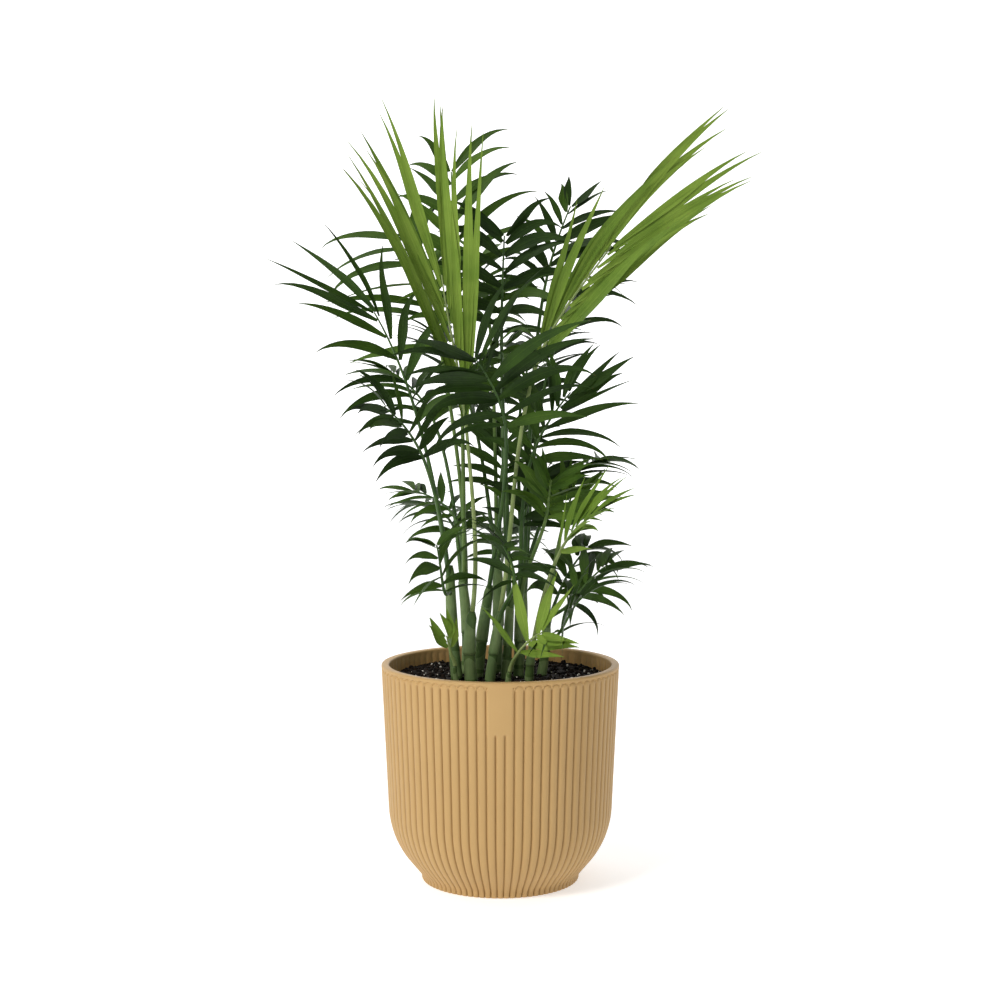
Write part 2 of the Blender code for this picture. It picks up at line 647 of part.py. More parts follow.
def grow_leaflet(bm: bmesh.types.BMesh, face: bmesh.types.BMFace, rings: list) -> None:
    """Extrudes a stalk's side face out through a leaflet's rings and gathers the last into its tip."""
    for ring in rings[:-1]:
        face = bmesh.ops.extrude_discrete_faces(bm, faces=[face])["faces"][0]
        for vert, corner in zip(face.verts, ring):
            vert.co = corner
    face = bmesh.ops.extrude_discrete_faces(bm, faces=[face])["faces"][0]
    bmesh.ops.pointmerge(bm, verts=face.verts, merge_co=rings[-1])


def build_frond(frond: Frond, stalk: tuple, placed: Placed,
                surface: bpy.types.Material) -> bpy.types.Object:
    """A frond: its three-sided stalk with a blade for each leaflet that finds room."""
    stations, feet = stalk
    bm = bmesh.new()
    rings = [[bm.verts.new(point) for point in ring] for ring in stalk_rings(stations)]
    sides = {}
    for k in range(len(rings) - 1):
        near, far = rings[k], rings[k + 1]
        sides[k, 1] = bm.faces.new((near[0], far[0], far[1], near[1]))
        bm.faces.new((near[1], far[1], far[2], near[2]))
        sides[k, -1] = bm.faces.new((near[2], far[2], far[0], near[0]))
    bm.faces.new(rings[0])
    bm.faces.new(list(reversed(rings[-1])))
    draw = random.Random(f"{SEED} {frond.name}")
    for k, u in feet:
        for hand in (-1, 1):
            grown = settle_leaflet(frond, stations, k, hand, u, draw, placed)
            if grown:
                order = (0, 3, 2, 1) if hand > 0 else (1, 2, 3, 0)
                corners = [[ring[i] for i in order] for ring in grown[:2]]
                grow_leaflet(bm, sides[k, hand], [*corners, grown[2]])
    return finish(bm, frond.name, surface, 30.0)


def clear_scene() -> None:
    """Removes the objects that are there."""
    for old in list(bpy.data.objects):
        bpy.data.objects.remove(old)


def solid_of(made: bpy.types.Object) -> tuple:
    """An object's points in millimetres and its faces."""
    points = [vert.co / MM for vert in made.data.vertices]
    return points, [tuple(face.vertices) for face in made.data.polygons]


def main() -> None:
    """Builds the pot, the soil, the canes and the fronds."""
    clear_scene()
    placed = Placed()
    placed.add(*solid_of(build_pot()))
    placed.add(*solid_of(build_soil()))
    cane_surface = material("cane_green", CANE_GREEN, 0.5)
    canes = {cane.name: cane for cane in CANES}
    for cane in CANES:
        build_cane(cane, placed, cane_surface)
    leaf = {tone: material(f"leaf_{tone}", colour, 0.45) for tone, colour in TONES.items()}
    stalks = {frond.name: settle_stalk(frond, canes[frond.cane], placed) for frond in FRONDS}
    for frond in FRONDS:
        build_frond(frond, stalks[frond.name], placed, leaf[frond.tone])


main()
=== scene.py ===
"""Dresses a potted parlor palm: the ribbed pot, its soil, the canes, the stalks and the leaflets.

The frame is in metres. Sizes here are in millimetres, as in the part's source, and each mesh is scaled
to metres when it is made. The pot stands on z = 0 with its front at -Y.
"""

import logging
import math
import random
from collections.abc import Callable
from dataclasses import dataclass, field
from enum import Enum

import bpy
from mathutils import Matrix, Vector, noise


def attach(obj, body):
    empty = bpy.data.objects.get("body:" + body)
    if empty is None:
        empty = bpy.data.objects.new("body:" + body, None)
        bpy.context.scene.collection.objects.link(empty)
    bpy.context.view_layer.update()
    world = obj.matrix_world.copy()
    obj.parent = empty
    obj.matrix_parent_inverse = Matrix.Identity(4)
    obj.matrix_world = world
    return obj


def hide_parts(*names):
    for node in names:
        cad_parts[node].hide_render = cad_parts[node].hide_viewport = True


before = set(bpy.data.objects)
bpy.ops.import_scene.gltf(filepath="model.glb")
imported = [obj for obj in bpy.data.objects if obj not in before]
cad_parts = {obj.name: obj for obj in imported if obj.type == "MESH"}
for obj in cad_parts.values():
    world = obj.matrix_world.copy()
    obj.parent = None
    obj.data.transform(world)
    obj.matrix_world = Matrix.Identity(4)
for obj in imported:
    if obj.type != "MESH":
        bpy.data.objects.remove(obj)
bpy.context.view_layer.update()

MM = 0.001
FRONT = -90.0
SOIL_LEVEL = 158.0
GAP = 0.3
PETIOLE_RADIUS = 1.9
RACHIS_END_RADIUS = 1.0
SEED = 7

log = logging.getLogger("palm")


class Tone(Enum):
    """How old a frond is, which gives the green of its leaflets."""

    DEEP = "deep"
    MID = "mid"
    FRESH = "fresh"


# Shader maths


class Value:
    """A socket of a shader, which sums and products extend with Math nodes."""

    def __init__(self, shader: "Shader", socket: bpy.types.NodeSocket) -> None:
        """Wraps a socket of a shader."""
        self.shader = shader
        self.socket = socket

    def math(self, operation: str, *others: "Value | float") -> "Value":
        """A Math node on this value and others."""
        inputs = dict(enumerate((self, *others)))
        return self.shader.node("ShaderNodeMath", {"operation": operation}, inputs)

    def __add__(self, other: "Value | float") -> "Value":
        """This value plus another."""
        return self.math("ADD", other)

    __radd__ = __add__

    def __mul__(self, other: "Value | float") -> "Value":
        """This value times another."""
        return self.math("MULTIPLY", other)

    __rmul__ = __mul__

    def __sub__(self, other: "Value | float") -> "Value":
        """This value less another."""
        return self.math("SUBTRACT", other)

    def __rsub__(self, other: float) -> "Value":
        """A number less this value."""
        return self * -1.0 + other

    def __pow__(self, other: float) -> "Value":
        """This value to a power."""
        return self.math("POWER", other)

    def absolute(self) -> "Value":
        """This value without its sign."""
        return self.math("ABSOLUTE")

    def sine(self) -> "Value":
        """The sine of this value in radians."""
        return self.math("SINE")

    def ramp(self, low: float, high: float) -> "Value":
        """This value eased from 0 at low to 1 at high."""
        settings = {"interpolation_type": "SMOOTHSTEP"}
        inputs = {"Value": self, "From Min": low, "From Max": high}
        return self.shader.node("ShaderNodeMapRange", settings, inputs)


class Shader:
    """A material whose surface is one Principled shader."""

    def __init__(self, name: str) -> None:
        """Starts a material of a name."""
        self.material = bpy.data.materials.new(name)
        self.material.use_nodes = True
        self.tree = self.material.node_tree
        self.principled = self.tree.nodes["Principled BSDF"]

    def node(self, kind: str, settings: dict, inputs: dict, output: int | str = 0) -> Value:
        """Adds a node.

        Args:
            kind: the node's type.
            settings: its properties, set first.
            inputs: values or links for its sockets, by name or index.
            output: the output socket that is wanted.

        Returns:
            The wanted output.
        """
        made = self.tree.nodes.new(kind)
        for key, value in settings.items():
            setattr(made, key, value)
        for key, value in inputs.items():
            self.feed(made.inputs[key], value)
        return Value(self, made.outputs[output])

    def feed(self, socket: bpy.types.NodeSocket, value: object) -> None:
        """Links a value to a socket, or sets the socket where it is plain."""
        if isinstance(value, Value):
            self.tree.links.new(value.socket, socket)
        elif isinstance(value, tuple) and len(value) == 3 and len(socket.default_value) == 4:
            socket.default_value = (*value, 1.0)
        else:
            socket.default_value = value

    def mix(self, share: Value | float, low: object, high: object) -> Value:
        """A colour that runs from low to high by a share."""
        settings = {"data_type": "RGBA"}
        return self.node("ShaderNodeMix", settings, {0: share, 6: low, 7: high}, 2)

    def place(self) -> Value:
        """The point on the object, in metres."""
        return self.node("ShaderNodeTexCoord", {}, {}, "Object")

    def uv(self) -> tuple[Value, Value]:
        """The two parts of the piece's own UV map."""
        where = self.node("ShaderNodeTexCoord", {}, {}, "UV")
        return self.parts(where)[:2]

    def parts(self, where: Value) -> tuple[Value, Value, Value]:
        """The three parts of a vector."""
        made = self.node("ShaderNodeSeparateXYZ", {}, {0: where}, "X")
        outputs = made.socket.node.outputs
        return made, Value(self, outputs["Y"]), Value(self, outputs["Z"])

    def stretched(self, where: Value, scale: tuple) -> Value:
        """A point scaled by a factor on each axis."""
        return self.node("ShaderNodeMapping", {}, {"Vector": where, "Scale": scale})

    def noise(self, where: Value, scale: float, detail: float = 3.0) -> Value:
        """Soft noise from 0 to 1."""
        return self.node("ShaderNodeTexNoise", {}, {"Vector": where, "Scale": scale, "Detail": detail})

    def bump(self, height: Value, strength: float, distance: float) -> Value:
        """A normal from a height."""
        inputs = {"Height": height, "Strength": strength, "Distance": distance}
        return self.node("ShaderNodeBump", {}, inputs)

    def dress(self, **sockets: object) -> bpy.types.Material:
        """Feeds the surface's sockets, whose names are written with underscores, and gives the material."""
        for key, value in sockets.items():
            self.feed(self.principled.inputs[key.replace("_", " ")], value)
        return self.material


# Finishes


@dataclass(frozen=True)
class PotFinish:
    """Matt moulded plastic, tan outside, with painted shade in the grooves and a darker, more orange
    painted shade on the inner wall.

    Lengths are in metres on the object.
    """

    tan: tuple = (0.475, 0.296, 0.116)
    pale: tuple = (0.530, 0.342, 0.142)
    # Painted shade and painted bounce light: a darker, more orange colour for the pot's inner wall above
    # the soil.
    inner: tuple = (0.470, 0.262, 0.088)
    # Painted shade: the darker colour laid into the hollows of the flutes.
    groove: tuple = (0.250, 0.140, 0.050)
    inner_shade_radius: float = 0.0862
    inner_shade_from: float = 0.150
    roughness: float = 0.48
    roughness_range: float = 0.12
    cloud_scale: float = 14.0
    grain_scale: float = 900.0
    flutes: int = 81
    groove_shade_sharpness: float = 7.0
    groove_shade_share: float = 0.45
    panel_half: float = 0.0098
    panel_bottom: float = 0.1285
    lip: float = 0.1640
    arch: float = 0.004

    def material(self) -> bpy.types.Material:
        """Builds the material."""
        shader = Shader("pot_plastic")
        where = shader.place()
        x, y, z = shader.parts(where)
        radius = (x * x + y * y) ** 0.5
        # Mask of the painted shade on the pot's inner wall above the soil.
        inner = 1.0 - radius.ramp(self.inner_shade_radius - 0.001, self.inner_shade_radius)
        inner_shade_mask = inner * z.ramp(self.inner_shade_from, self.inner_shade_from + 0.002)
        cloud = shader.noise(where, self.cloud_scale)
        grain = shader.noise(where, self.grain_scale, 2.0)
        # Painted shade: a wave round the pot darkens the hollows of the flutes.
        phase = (self.flutes + 1) * math.pi / 2
        wave = (y.math("ARCTAN2", x) * self.flutes + phase).sine()
        groove = (0.5 - wave * 0.5) ** self.groove_shade_sharpness
        # The painted groove shade stops at the smooth front panel and under the lip's arches.
        beside = x.absolute().ramp(self.panel_half, self.panel_half + 0.0005)
        above = z.ramp(self.panel_bottom, self.panel_bottom + 0.002)
        bare = (1.0 - beside) * above * (y * -1.0).ramp(0.0, 0.01)
        groove = groove * (1.0 - bare) * (1.0 - z.ramp(self.lip - self.arch, self.lip))
        colour = shader.mix(cloud, self.tan, self.pale)
        # The painted groove shade laid over the tan.
        colour = shader.mix(groove * self.groove_shade_share, colour, self.groove)
        # The painted shade of the inner wall laid over the rest.
        colour = shader.mix(inner_shade_mask, colour, self.inner)
        return shader.dress(
            Base_Color=colour,
            Roughness=grain * self.roughness_range + (self.roughness - self.roughness_range / 2),
            Normal=shader.bump(grain, 0.12, 0.0003),
            Specular_IOR_Level=0.25,
        )


@dataclass(frozen=True)
class SoilFinish:
    """Dark moist compost, browner where it is dry."""

    dark: tuple = (0.004, 0.003, 0.002)
    brown: tuple = (0.028, 0.016, 0.009)
    patch_scale: float = 260.0
    fine_scale: float = 1500.0

    def material(self) -> bpy.types.Material:
        """Builds the material."""
        shader = Shader("soil_crumbs")
        where = shader.place()
        patches = shader.noise(where, self.patch_scale, 6.0).ramp(0.42, 0.72)
        fine = shader.noise(where, self.fine_scale, 4.0)
        return shader.dress(
            Base_Color=shader.mix(patches, self.dark, self.brown),
            Roughness=fine * 0.2 + 0.75,
            Normal=shader.bump(fine, 0.7, 0.0012),
            Specular_IOR_Level=0.12,
        )


@dataclass(frozen=True)
class PerliteFinish:
    """White porous grains."""

    white: tuple = (0.72, 0.70, 0.64)
    grey: tuple = (0.36, 0.33, 0.28)
    pit_scale: float = 900.0

    def material(self) -> bpy.types.Material:
        """Builds the material."""
        shader = Shader("perlite")
        pits = shader.noise(shader.place(), self.pit_scale, 4.0)
        return shader.dress(
            Base_Color=shader.mix(pits.ramp(0.4, 0.65), self.grey, self.white),
            Roughness=0.9,
            Normal=shader.bump(pits, 0.5, 0.0005),
        )


@dataclass(frozen=True)
class LeafFinish:
    """A leaflet's skin: a green with fine veins along it, a paler midrib and a dry brown tip."""

    name: str
    dark: tuple
    light: tuple
    roughness: float = 0.46
    dry: tuple = (0.16, 0.10, 0.035)
    dry_from: float = 0.975
    veins: float = 7.0
    vein_share: float = 0.18
    cloud_share: float = 0.55
    midrib_share: float = 0.35
    cloud_scale: float = 42.0

    def material(self) -> bpy.types.Material:
        """Builds the material."""
        shader = Shader(self.name)
        across, length = shader.uv()
        stripes = (across * (math.tau * self.veins)).sine() * 0.5 + 0.5
        midrib = 1.0 - (across - 0.5).absolute().ramp(0.012, 0.06)
        cloud = shader.noise(shader.place(), self.cloud_scale, 4.0).ramp(0.3, 0.7)
        share = cloud * self.cloud_share + stripes * self.vein_share + midrib * self.midrib_share
        tip = length.ramp(self.dry_from, 1.0)
        colour = shader.mix(share, self.dark, self.light)
        colour = shader.mix(tip * 0.7, colour, self.dry)
        height = stripes * 0.5 - midrib
        return shader.dress(
            Base_Color=colour,
            Roughness=stripes * 0.06 + cloud * 0.08 + self.roughness,
            Normal=shader.bump(height, 0.3, 0.0004),
            Specular_IOR_Level=0.16,
        )


@dataclass(frozen=True)
class StemFinish:
    """Smooth green stem with fine lengthwise lines, brown and papery towards one end of its UV map."""

    name: str
    dark: tuple
    light: tuple
    papery: tuple = (0.30, 0.20, 0.10)
    papery_from: float = 2.0
    roughness: float = 0.42
    line_scale: float = 900.0
    line_stretch: tuple = (1.0, 1.0, 0.06)
    line_share: float = 0.4
    cloud_scale: float = 60.0
    cloud_share: float = 0.6

    def material(self) -> bpy.types.Material:
        """Builds the material."""
        shader = Shader(self.name)
        where = shader.place()
        length = shader.uv()[1]
        lines = shader.noise(shader.stretched(where, self.line_stretch), self.line_scale)
        cloud = shader.noise(where, self.cloud_scale, 4.0)
        share = cloud.ramp(0.3, 0.7) * self.cloud_share + lines * self.line_share
        colour = shader.mix(share, self.dark, self.light)
        dry = (length + cloud * 0.5).ramp(self.papery_from, self.papery_from + 0.25)
        colour = shader.mix(dry, colour, self.papery)
        return shader.dress(
            Base_Color=colour,
            Roughness=lines * 0.15 + self.roughness,
            Normal=shader.bump(lines, 0.3, 0.0005),
            Specular_IOR_Level=0.25,
        )


@dataclass(frozen=True)
class StudioFinish:
    """A plain pale sheet, which glows a little so that it stays white in a soft light."""

    name: str
    glow: float
    white: float = 0.80

    def material(self) -> bpy.types.Material:
        """Builds the material."""
        shader = Shader(self.name)
        soft = shader.noise(shader.place(), 3.0)
        colour = shader.mix(soft, (self.white,) * 3, (self.white + 0.02,) * 3)
        return shader.dress(
            Base_Color=colour,
            Roughness=0.9,
            Specular_IOR_Level=0.0,
            Emission_Color=(1.0, 1.0, 1.0),
            Emission_Strength=self.glow,
        )


LEAVES: dict[Tone, tuple[LeafFinish, ...]] = {
    Tone.DEEP: (
        LeafFinish("leaf_deep_dark", (0.0080, 0.0230, 0.0022), (0.0250, 0.0600, 0.0060)),
        LeafFinish("leaf_deep_full", (0.0130, 0.0360, 0.0032), (0.0380, 0.0850, 0.0080)),
        LeafFinish("leaf_deep_light", (0.0220, 0.0560, 0.0050), (0.0580, 0.1180, 0.0110)),
    ),
    Tone.MID: (
        LeafFinish("leaf_mid_dark", (0.0240, 0.0600, 0.0050), (0.0600, 0.1220, 0.0110)),
        LeafFinish("leaf_mid_light", (0.0400, 0.0900, 0.0070), (0.0920, 0.1700, 0.0170)),
    ),
    Tone.FRESH: (
        LeafFinish("leaf_fresh_dark", (0.0850, 0.1600, 0.0160), (0.1650, 0.2650, 0.0330), 0.48),
        LeafFinish("leaf_fresh_light", (0.1200, 0.2100, 0.0220), (0.2200, 0.3250, 0.0480), 0.48),
    ),
}
STALKS: dict[Tone, StemFinish] = {
    Tone.DEEP: StemFinish("stalk_deep", (0.022, 0.062, 0.012), (0.070, 0.135, 0.030)),
    Tone.MID: StemFinish("stalk_mid", (0.060, 0.120, 0.025), (0.140, 0.215, 0.055)),
    Tone.FRESH: StemFinish("stalk_fresh", (0.170, 0.245, 0.070), (0.300, 0.370, 0.140)),
}


# Mesh helpers


def made_object(name: str, points: list, faces: list, uvs: list | None = None) -> bpy.types.Object:
    """Makes a smooth-shaded object from points in millimetres.

    Args:
        name: the piece's name.
        points: the vertices.
        faces: the vertex indices of each face.
        uvs: a pair for each vertex, or nothing.

    Returns:
        The object, with its place in its mesh in metres.
    """
    mesh = bpy.data.meshes.new(name)
    mesh.from_pydata([tuple(point) for point in points], [], faces)
    mesh.transform(Matrix.Scale(MM, 4))
    if uvs:
        layer = mesh.uv_layers.new(name="along")
        for loop in mesh.loops:
            layer.data[loop.index].uv = uvs[loop.vertex_index]
    mesh.shade_smooth()
    made = bpy.data.objects.new(name, mesh)
    bpy.context.scene.collection.objects.link(made)
    return made


def select_only(made: bpy.types.Object) -> None:
    """Makes an object the only one selected, and the active one."""
    bpy.ops.object.select_all(action="DESELECT")
    made.select_set(True)
    bpy.context.view_layer.objects.active = made


def cylinder(name: str, sides: int, radius: float, low: float, high: float) -> bpy.types.Object:
    """A cylinder primitive between two heights, all in metres, with its place in its mesh."""
    bpy.ops.object.select_all(action="DESELECT")
    place = (0, 0, (low + high) / 2)
    bpy.ops.mesh.primitive_cylinder_add(vertices=sides, radius=radius, depth=high - low, location=place)
    made = bpy.context.object
    made.name = name
    made.data.name = name
    bpy.ops.object.transform_apply(location=True)
    return made


def edit_faces(made: bpy.types.Object, wanted: Callable[[bpy.types.MeshPolygon], bool]) -> None:
    """Opens an object in edit mode with only the wanted faces selected."""
    select_only(made)
    bpy.ops.object.mode_set(mode="EDIT")
    bpy.ops.mesh.select_mode(type="FACE")
    bpy.ops.mesh.select_all(action="DESELECT")
    bpy.ops.object.mode_set(mode="OBJECT")
    for polygon in made.data.polygons:
        polygon.select = wanted(polygon)
    bpy.ops.object.mode_set(mode="EDIT")


def settle(piece: bpy.types.Object, nodes: list[str]) -> None:
    """Rides a piece on the plant's body and lets it stand for CAD nodes."""
    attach(piece, "root")
    if nodes:
        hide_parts(*nodes)
    log.info("%s: %d faces", piece.name, len(piece.data.polygons))


@dataclass
class Mesh:
    """A growing joined mesh of small shells, with a UV pair for each point and a finish for each face."""

    points: list = field(default_factory=list)
    faces: list = field(default_factory=list)
    uvs: list = field(default_factory=list)
    finishes: list = field(default_factory=list)

    def add(self, points: list, faces: list, uvs: list, finish: int = 0) -> None:
        """Adds a shell, whose faces count from its own first point."""
        start = len(self.points)
        self.points += points
        self.uvs += uvs
        self.faces += [tuple(start + i for i in face) for face in faces]
        self.finishes += [finish] * len(faces)

    def made(self, name: str, materials: list) -> bpy.types.Object:
        """Makes the object with its materials dealt out to its faces."""
        piece = made_object(name, self.points, self.faces, self.uvs)
        for material in materials:
            piece.data.materials.append(material)
        piece.data.polygons.foreach_set("material_index", self.finishes)
        return piece


def lerp(low: float, high: float, share: float) -> float:
    """The value at a share of the way from low to high."""
    return low + (high - low) * share


def bezier(p0: Vector, p1: Vector, p2: Vector, p3: Vector, u: float) -> Vector:
    """The point at u on a cubic curve."""
    v = 1.0 - u
    return p0 * v**3 + p1 * (3 * v * v * u) + p2 * (3 * v * u * u) + p3 * u**3


def square_to(direction: Vector, hint: Vector) -> Vector:
    """The unit vector square to a direction that is nearest to a hint."""
    return (hint - direction * hint.dot(direction)).normalized()


def three_point(low: float, middle: float, high: float, u: float) -> float:
    """A value that runs from low through middle to high as u goes from 0 to 1."""
    return lerp(low, middle, u * 2) if u < 0.5 else lerp(middle, high, u * 2 - 1)


def tube(centres: list, radii: list, sides: int, grow: Callable | None = None) -> tuple[list, list, list]:
    """A closed tube along some points.

    Args:
        centres: the points of its axis.
        radii: its radius at each.
        sides: how many points go round it.
        grow: gives a factor on the radius from the ring's index and the turn in radians.

    Returns:
        Its points, faces and UV pairs.
    """
    points, uvs = [], []
    last = len(centres) - 1
    hint = Vector((0, -1, 0))
    for k, centre in enumerate(centres):
        ahead = (centres[min(k + 1, last)] - centres[max(k - 1, 0)]).normalized()
        hint = square_to(ahead, hint)
        side = ahead.cross(hint)
        for i in range(sides):
            turn = math.tau * i / sides
            radius = radii[k] * (grow(k, turn) if grow else 1.0)
            points.append(centre + hint * radius * math.cos(turn) + side * radius * math.sin(turn))
            uvs.append((i / sides, k / last))
    faces = []
    for k in range(last):
        for i in range(sides):
            j = (i + 1) % sides
            faces.append((k * sides + i, k * sides + j, (k + 1) * sides + j, (k + 1) * sides + i))
    faces.append(tuple(reversed(range(sides))))
    faces.append(tuple(range(last * sides, (last + 1) * sides)))
    return points, faces, uvs


# Pot and soil


@dataclass
class Pot:
    """The ribbed pot: a turned wall whose ribs end in arches under a smooth lip."""

    height: float = 168.0
    rim_radius: float = 92.0
    rim_width: float = 6.0
    rim_round: float = 1.2
    belly_radius: float = 86.7
    belly_height: float = 56.0
    bowl_radius: float = 67.1
    bowl_sweep: float = 37.4
    neck_radius: float = 63.6
    neck_height: float = 8.5
    foot_radius: float = 60.6
    foot_height: float = 3.5
    flutes: int = 81
    flute_depth: float = 1.6
    flute_steps: int = 8
    flute_roundness: float = 2.4
    lip_height: float = 2.6
    arch_height: float = 4.2
    panel_flutes: int = 3
    panel_bottom: float = 130.0
    panel_edge: float = 0.2
    panel_fade: float = 3.0
    bowl_steps: int = 12
    fine_steps: int = 14
    inner_flute_depth: float = 0.5
    finish: PotFinish = field(default_factory=PotFinish)

    @property
    def draft(self) -> float:
        """The straight wall's lean, in radians."""
        return math.atan((self.rim_radius - self.belly_radius) / (self.height - self.belly_height))

    def wall_radius(self, height: float) -> float:
        """The outer radius of the straight wall at a height."""
        return self.belly_radius + (height - self.belly_height) * math.tan(self.draft)

    def outer_profile(self) -> list[tuple[float, float]]:
        """Radius and height up the pot's outer side, from the foot to the rim's outer edge."""
        up = [(self.foot_radius, 0.0), (self.foot_radius + 0.5, 0.6)]
        up.append((self.foot_radius + 0.8, self.foot_height))
        middle_height = (self.foot_height + self.neck_height) / 2
        up.append(((self.foot_radius + self.neck_radius) / 2 + 0.6, middle_height))
        centre_radius = self.belly_radius - self.bowl_radius * math.cos(self.draft)
        centre_height = self.belly_height + self.bowl_radius * math.sin(self.draft)
        for i in reversed(range(self.bowl_steps + 1)):
            angle = self.draft + math.radians(self.bowl_sweep) * i / self.bowl_steps
            up.append((centre_radius + self.bowl_radius * math.cos(angle),
                       centre_height - self.bowl_radius * math.sin(angle)))
        fine_from = self.height - self.lip_height - self.arch_height - 0.5
        below, above = self.panel_bottom - self.panel_fade, self.panel_bottom + self.panel_fade
        top = self.height - self.rim_round
        heights = []
        spans = (
            (self.belly_height, below, 6),
            (below, above, 8),
            (above, fine_from, 4),
            (fine_from, top, self.fine_steps),
        )
        for low, high, steps in spans:
            heights += [lerp(low, high, i / steps) for i in range(1, steps + 1)]
        up += [(self.wall_radius(height), height) for height in heights]
        edge = self.wall_radius(top)
        up += [(edge - inward, top + rise) for inward, rise in self.rounding((30, 60, 90))]
        return up

    def rounding(self, turns: tuple) -> list[tuple[float, float]]:
        """How far in and up the rim's rounded edge goes at some turns in degrees."""
        angles = [math.radians(turn) for turn in turns]
        return [(self.rim_round * (1 - math.cos(a)), self.rim_round * math.sin(a)) for a in angles]

    def inner_profile(self) -> list[tuple[float, float]]:
        """Radius and height down the inner side, from the rim to below the soil."""
        inner = self.rim_radius - self.rim_width
        top = self.height - self.rim_round
        down = [(inner + self.rim_round, self.height)]
        down += [(inner + outward, top + rise) for outward, rise in self.rounding((60, 30, 0))]
        depths = (1.2, 2.0, 3.2, 5.0, 8.0, 12.0, 16.0)
        down += [(inner - depth * math.tan(self.draft), top - depth) for depth in depths]
        return down

    def flute_share(self, turn: float, height: float) -> float:
        """How deep the groove is at a place on the outer wall, from 0 on a rib's crown to 1.

        Args:
            turn: degrees round from the front.
            height: millimetres above the floor.
        """
        pitch = 360.0 / self.flutes
        flute = round(turn / pitch)
        across = 2 * (turn / pitch - flute)
        half_panel = self.panel_flutes / 2 - self.panel_edge
        fade_from = self.panel_bottom - self.panel_fade
        smooth = 0.0
        if abs(turn / pitch) < half_panel and height > fade_from:
            smooth = min(1.0, (height - fade_from) / self.panel_fade)
        arch_from = self.height - self.lip_height - self.arch_height
        reach = abs(across)
        if height > arch_from:
            rise = (height - arch_from) / self.arch_height
            reach = math.hypot(across, rise)
            if reach > 1.0:
                reach = max(0.0, 1.0 - (reach - 1.0) * 4.0)
        return (1 - math.sqrt(max(0.0, 1 - min(1.0, reach) ** self.flute_roundness))) * (1 - smooth)

    def relief(self, point: Vector) -> float:
        """The change in radius that the ribs make at a point of the turned shape."""
        radius = point.xy.length
        turn = math.degrees(math.atan2(point.y, point.x)) - FRONT
        turn = (turn + 180.0) % 360.0 - 180.0
        top = self.height - self.rim_round
        if point.z > top + 0.01:
            return 0.0
        if radius > self.wall_radius(point.z) - self.rim_width / 2 or point.z < self.belly_height:
            foot_share = 0.8 if point.z < 0.1 else 1.0
            return -self.flute_depth * foot_share * self.flute_share(turn, point.z)
        across = 2 * abs(turn * self.flutes / 360.0 - round(turn * self.flutes / 360.0))
        depth = min(1.0, max(0.0, (top - 0.8 - point.z) / 1.5))
        return self.inner_flute_depth * depth * across**2

    def build(self) -> bpy.types.Object:
        """Extrudes a low cylinder through the profile in edit mode, then cuts the ribs."""
        profile = self.outer_profile() + self.inner_profile()
        points = [(radius * MM, height * MM) for radius, height in profile]
        depth = points[1][1]
        pot = cylinder("ribbed_pot", self.flutes * self.flute_steps, points[0][0], 0.0, depth)
        edit_faces(pot, lambda polygon: polygon.center.z > depth * 0.99)
        factor = points[1][0] / points[0][0]
        bpy.ops.transform.resize(value=(factor, factor, 1), center_override=(0, 0, depth))
        for (radius, height), (next_radius, next_height) in zip(points[1:], points[2:]):
            bpy.ops.mesh.extrude_region_move(TRANSFORM_OT_translate={"value": (0, 0, next_height - height)})
            factor = next_radius / radius
            bpy.ops.transform.resize(value=(factor, factor, 1), center_override=(0, 0, next_height))
        bpy.ops.object.mode_set(mode="OBJECT")
        for vertex in pot.data.vertices:
            place = Vector(vertex.co) / MM
            radius = place.xy.length
            if radius > 1.0:
                factor = 1 + self.relief(place) / radius
                vertex.co.x *= factor
                vertex.co.y *= factor
        select_only(pot)
        bpy.ops.object.shade_smooth_by_angle(angle=math.radians(38))
        pot.data.materials.append(self.finish.material())
        settle(pot, ["pot"])
        return pot


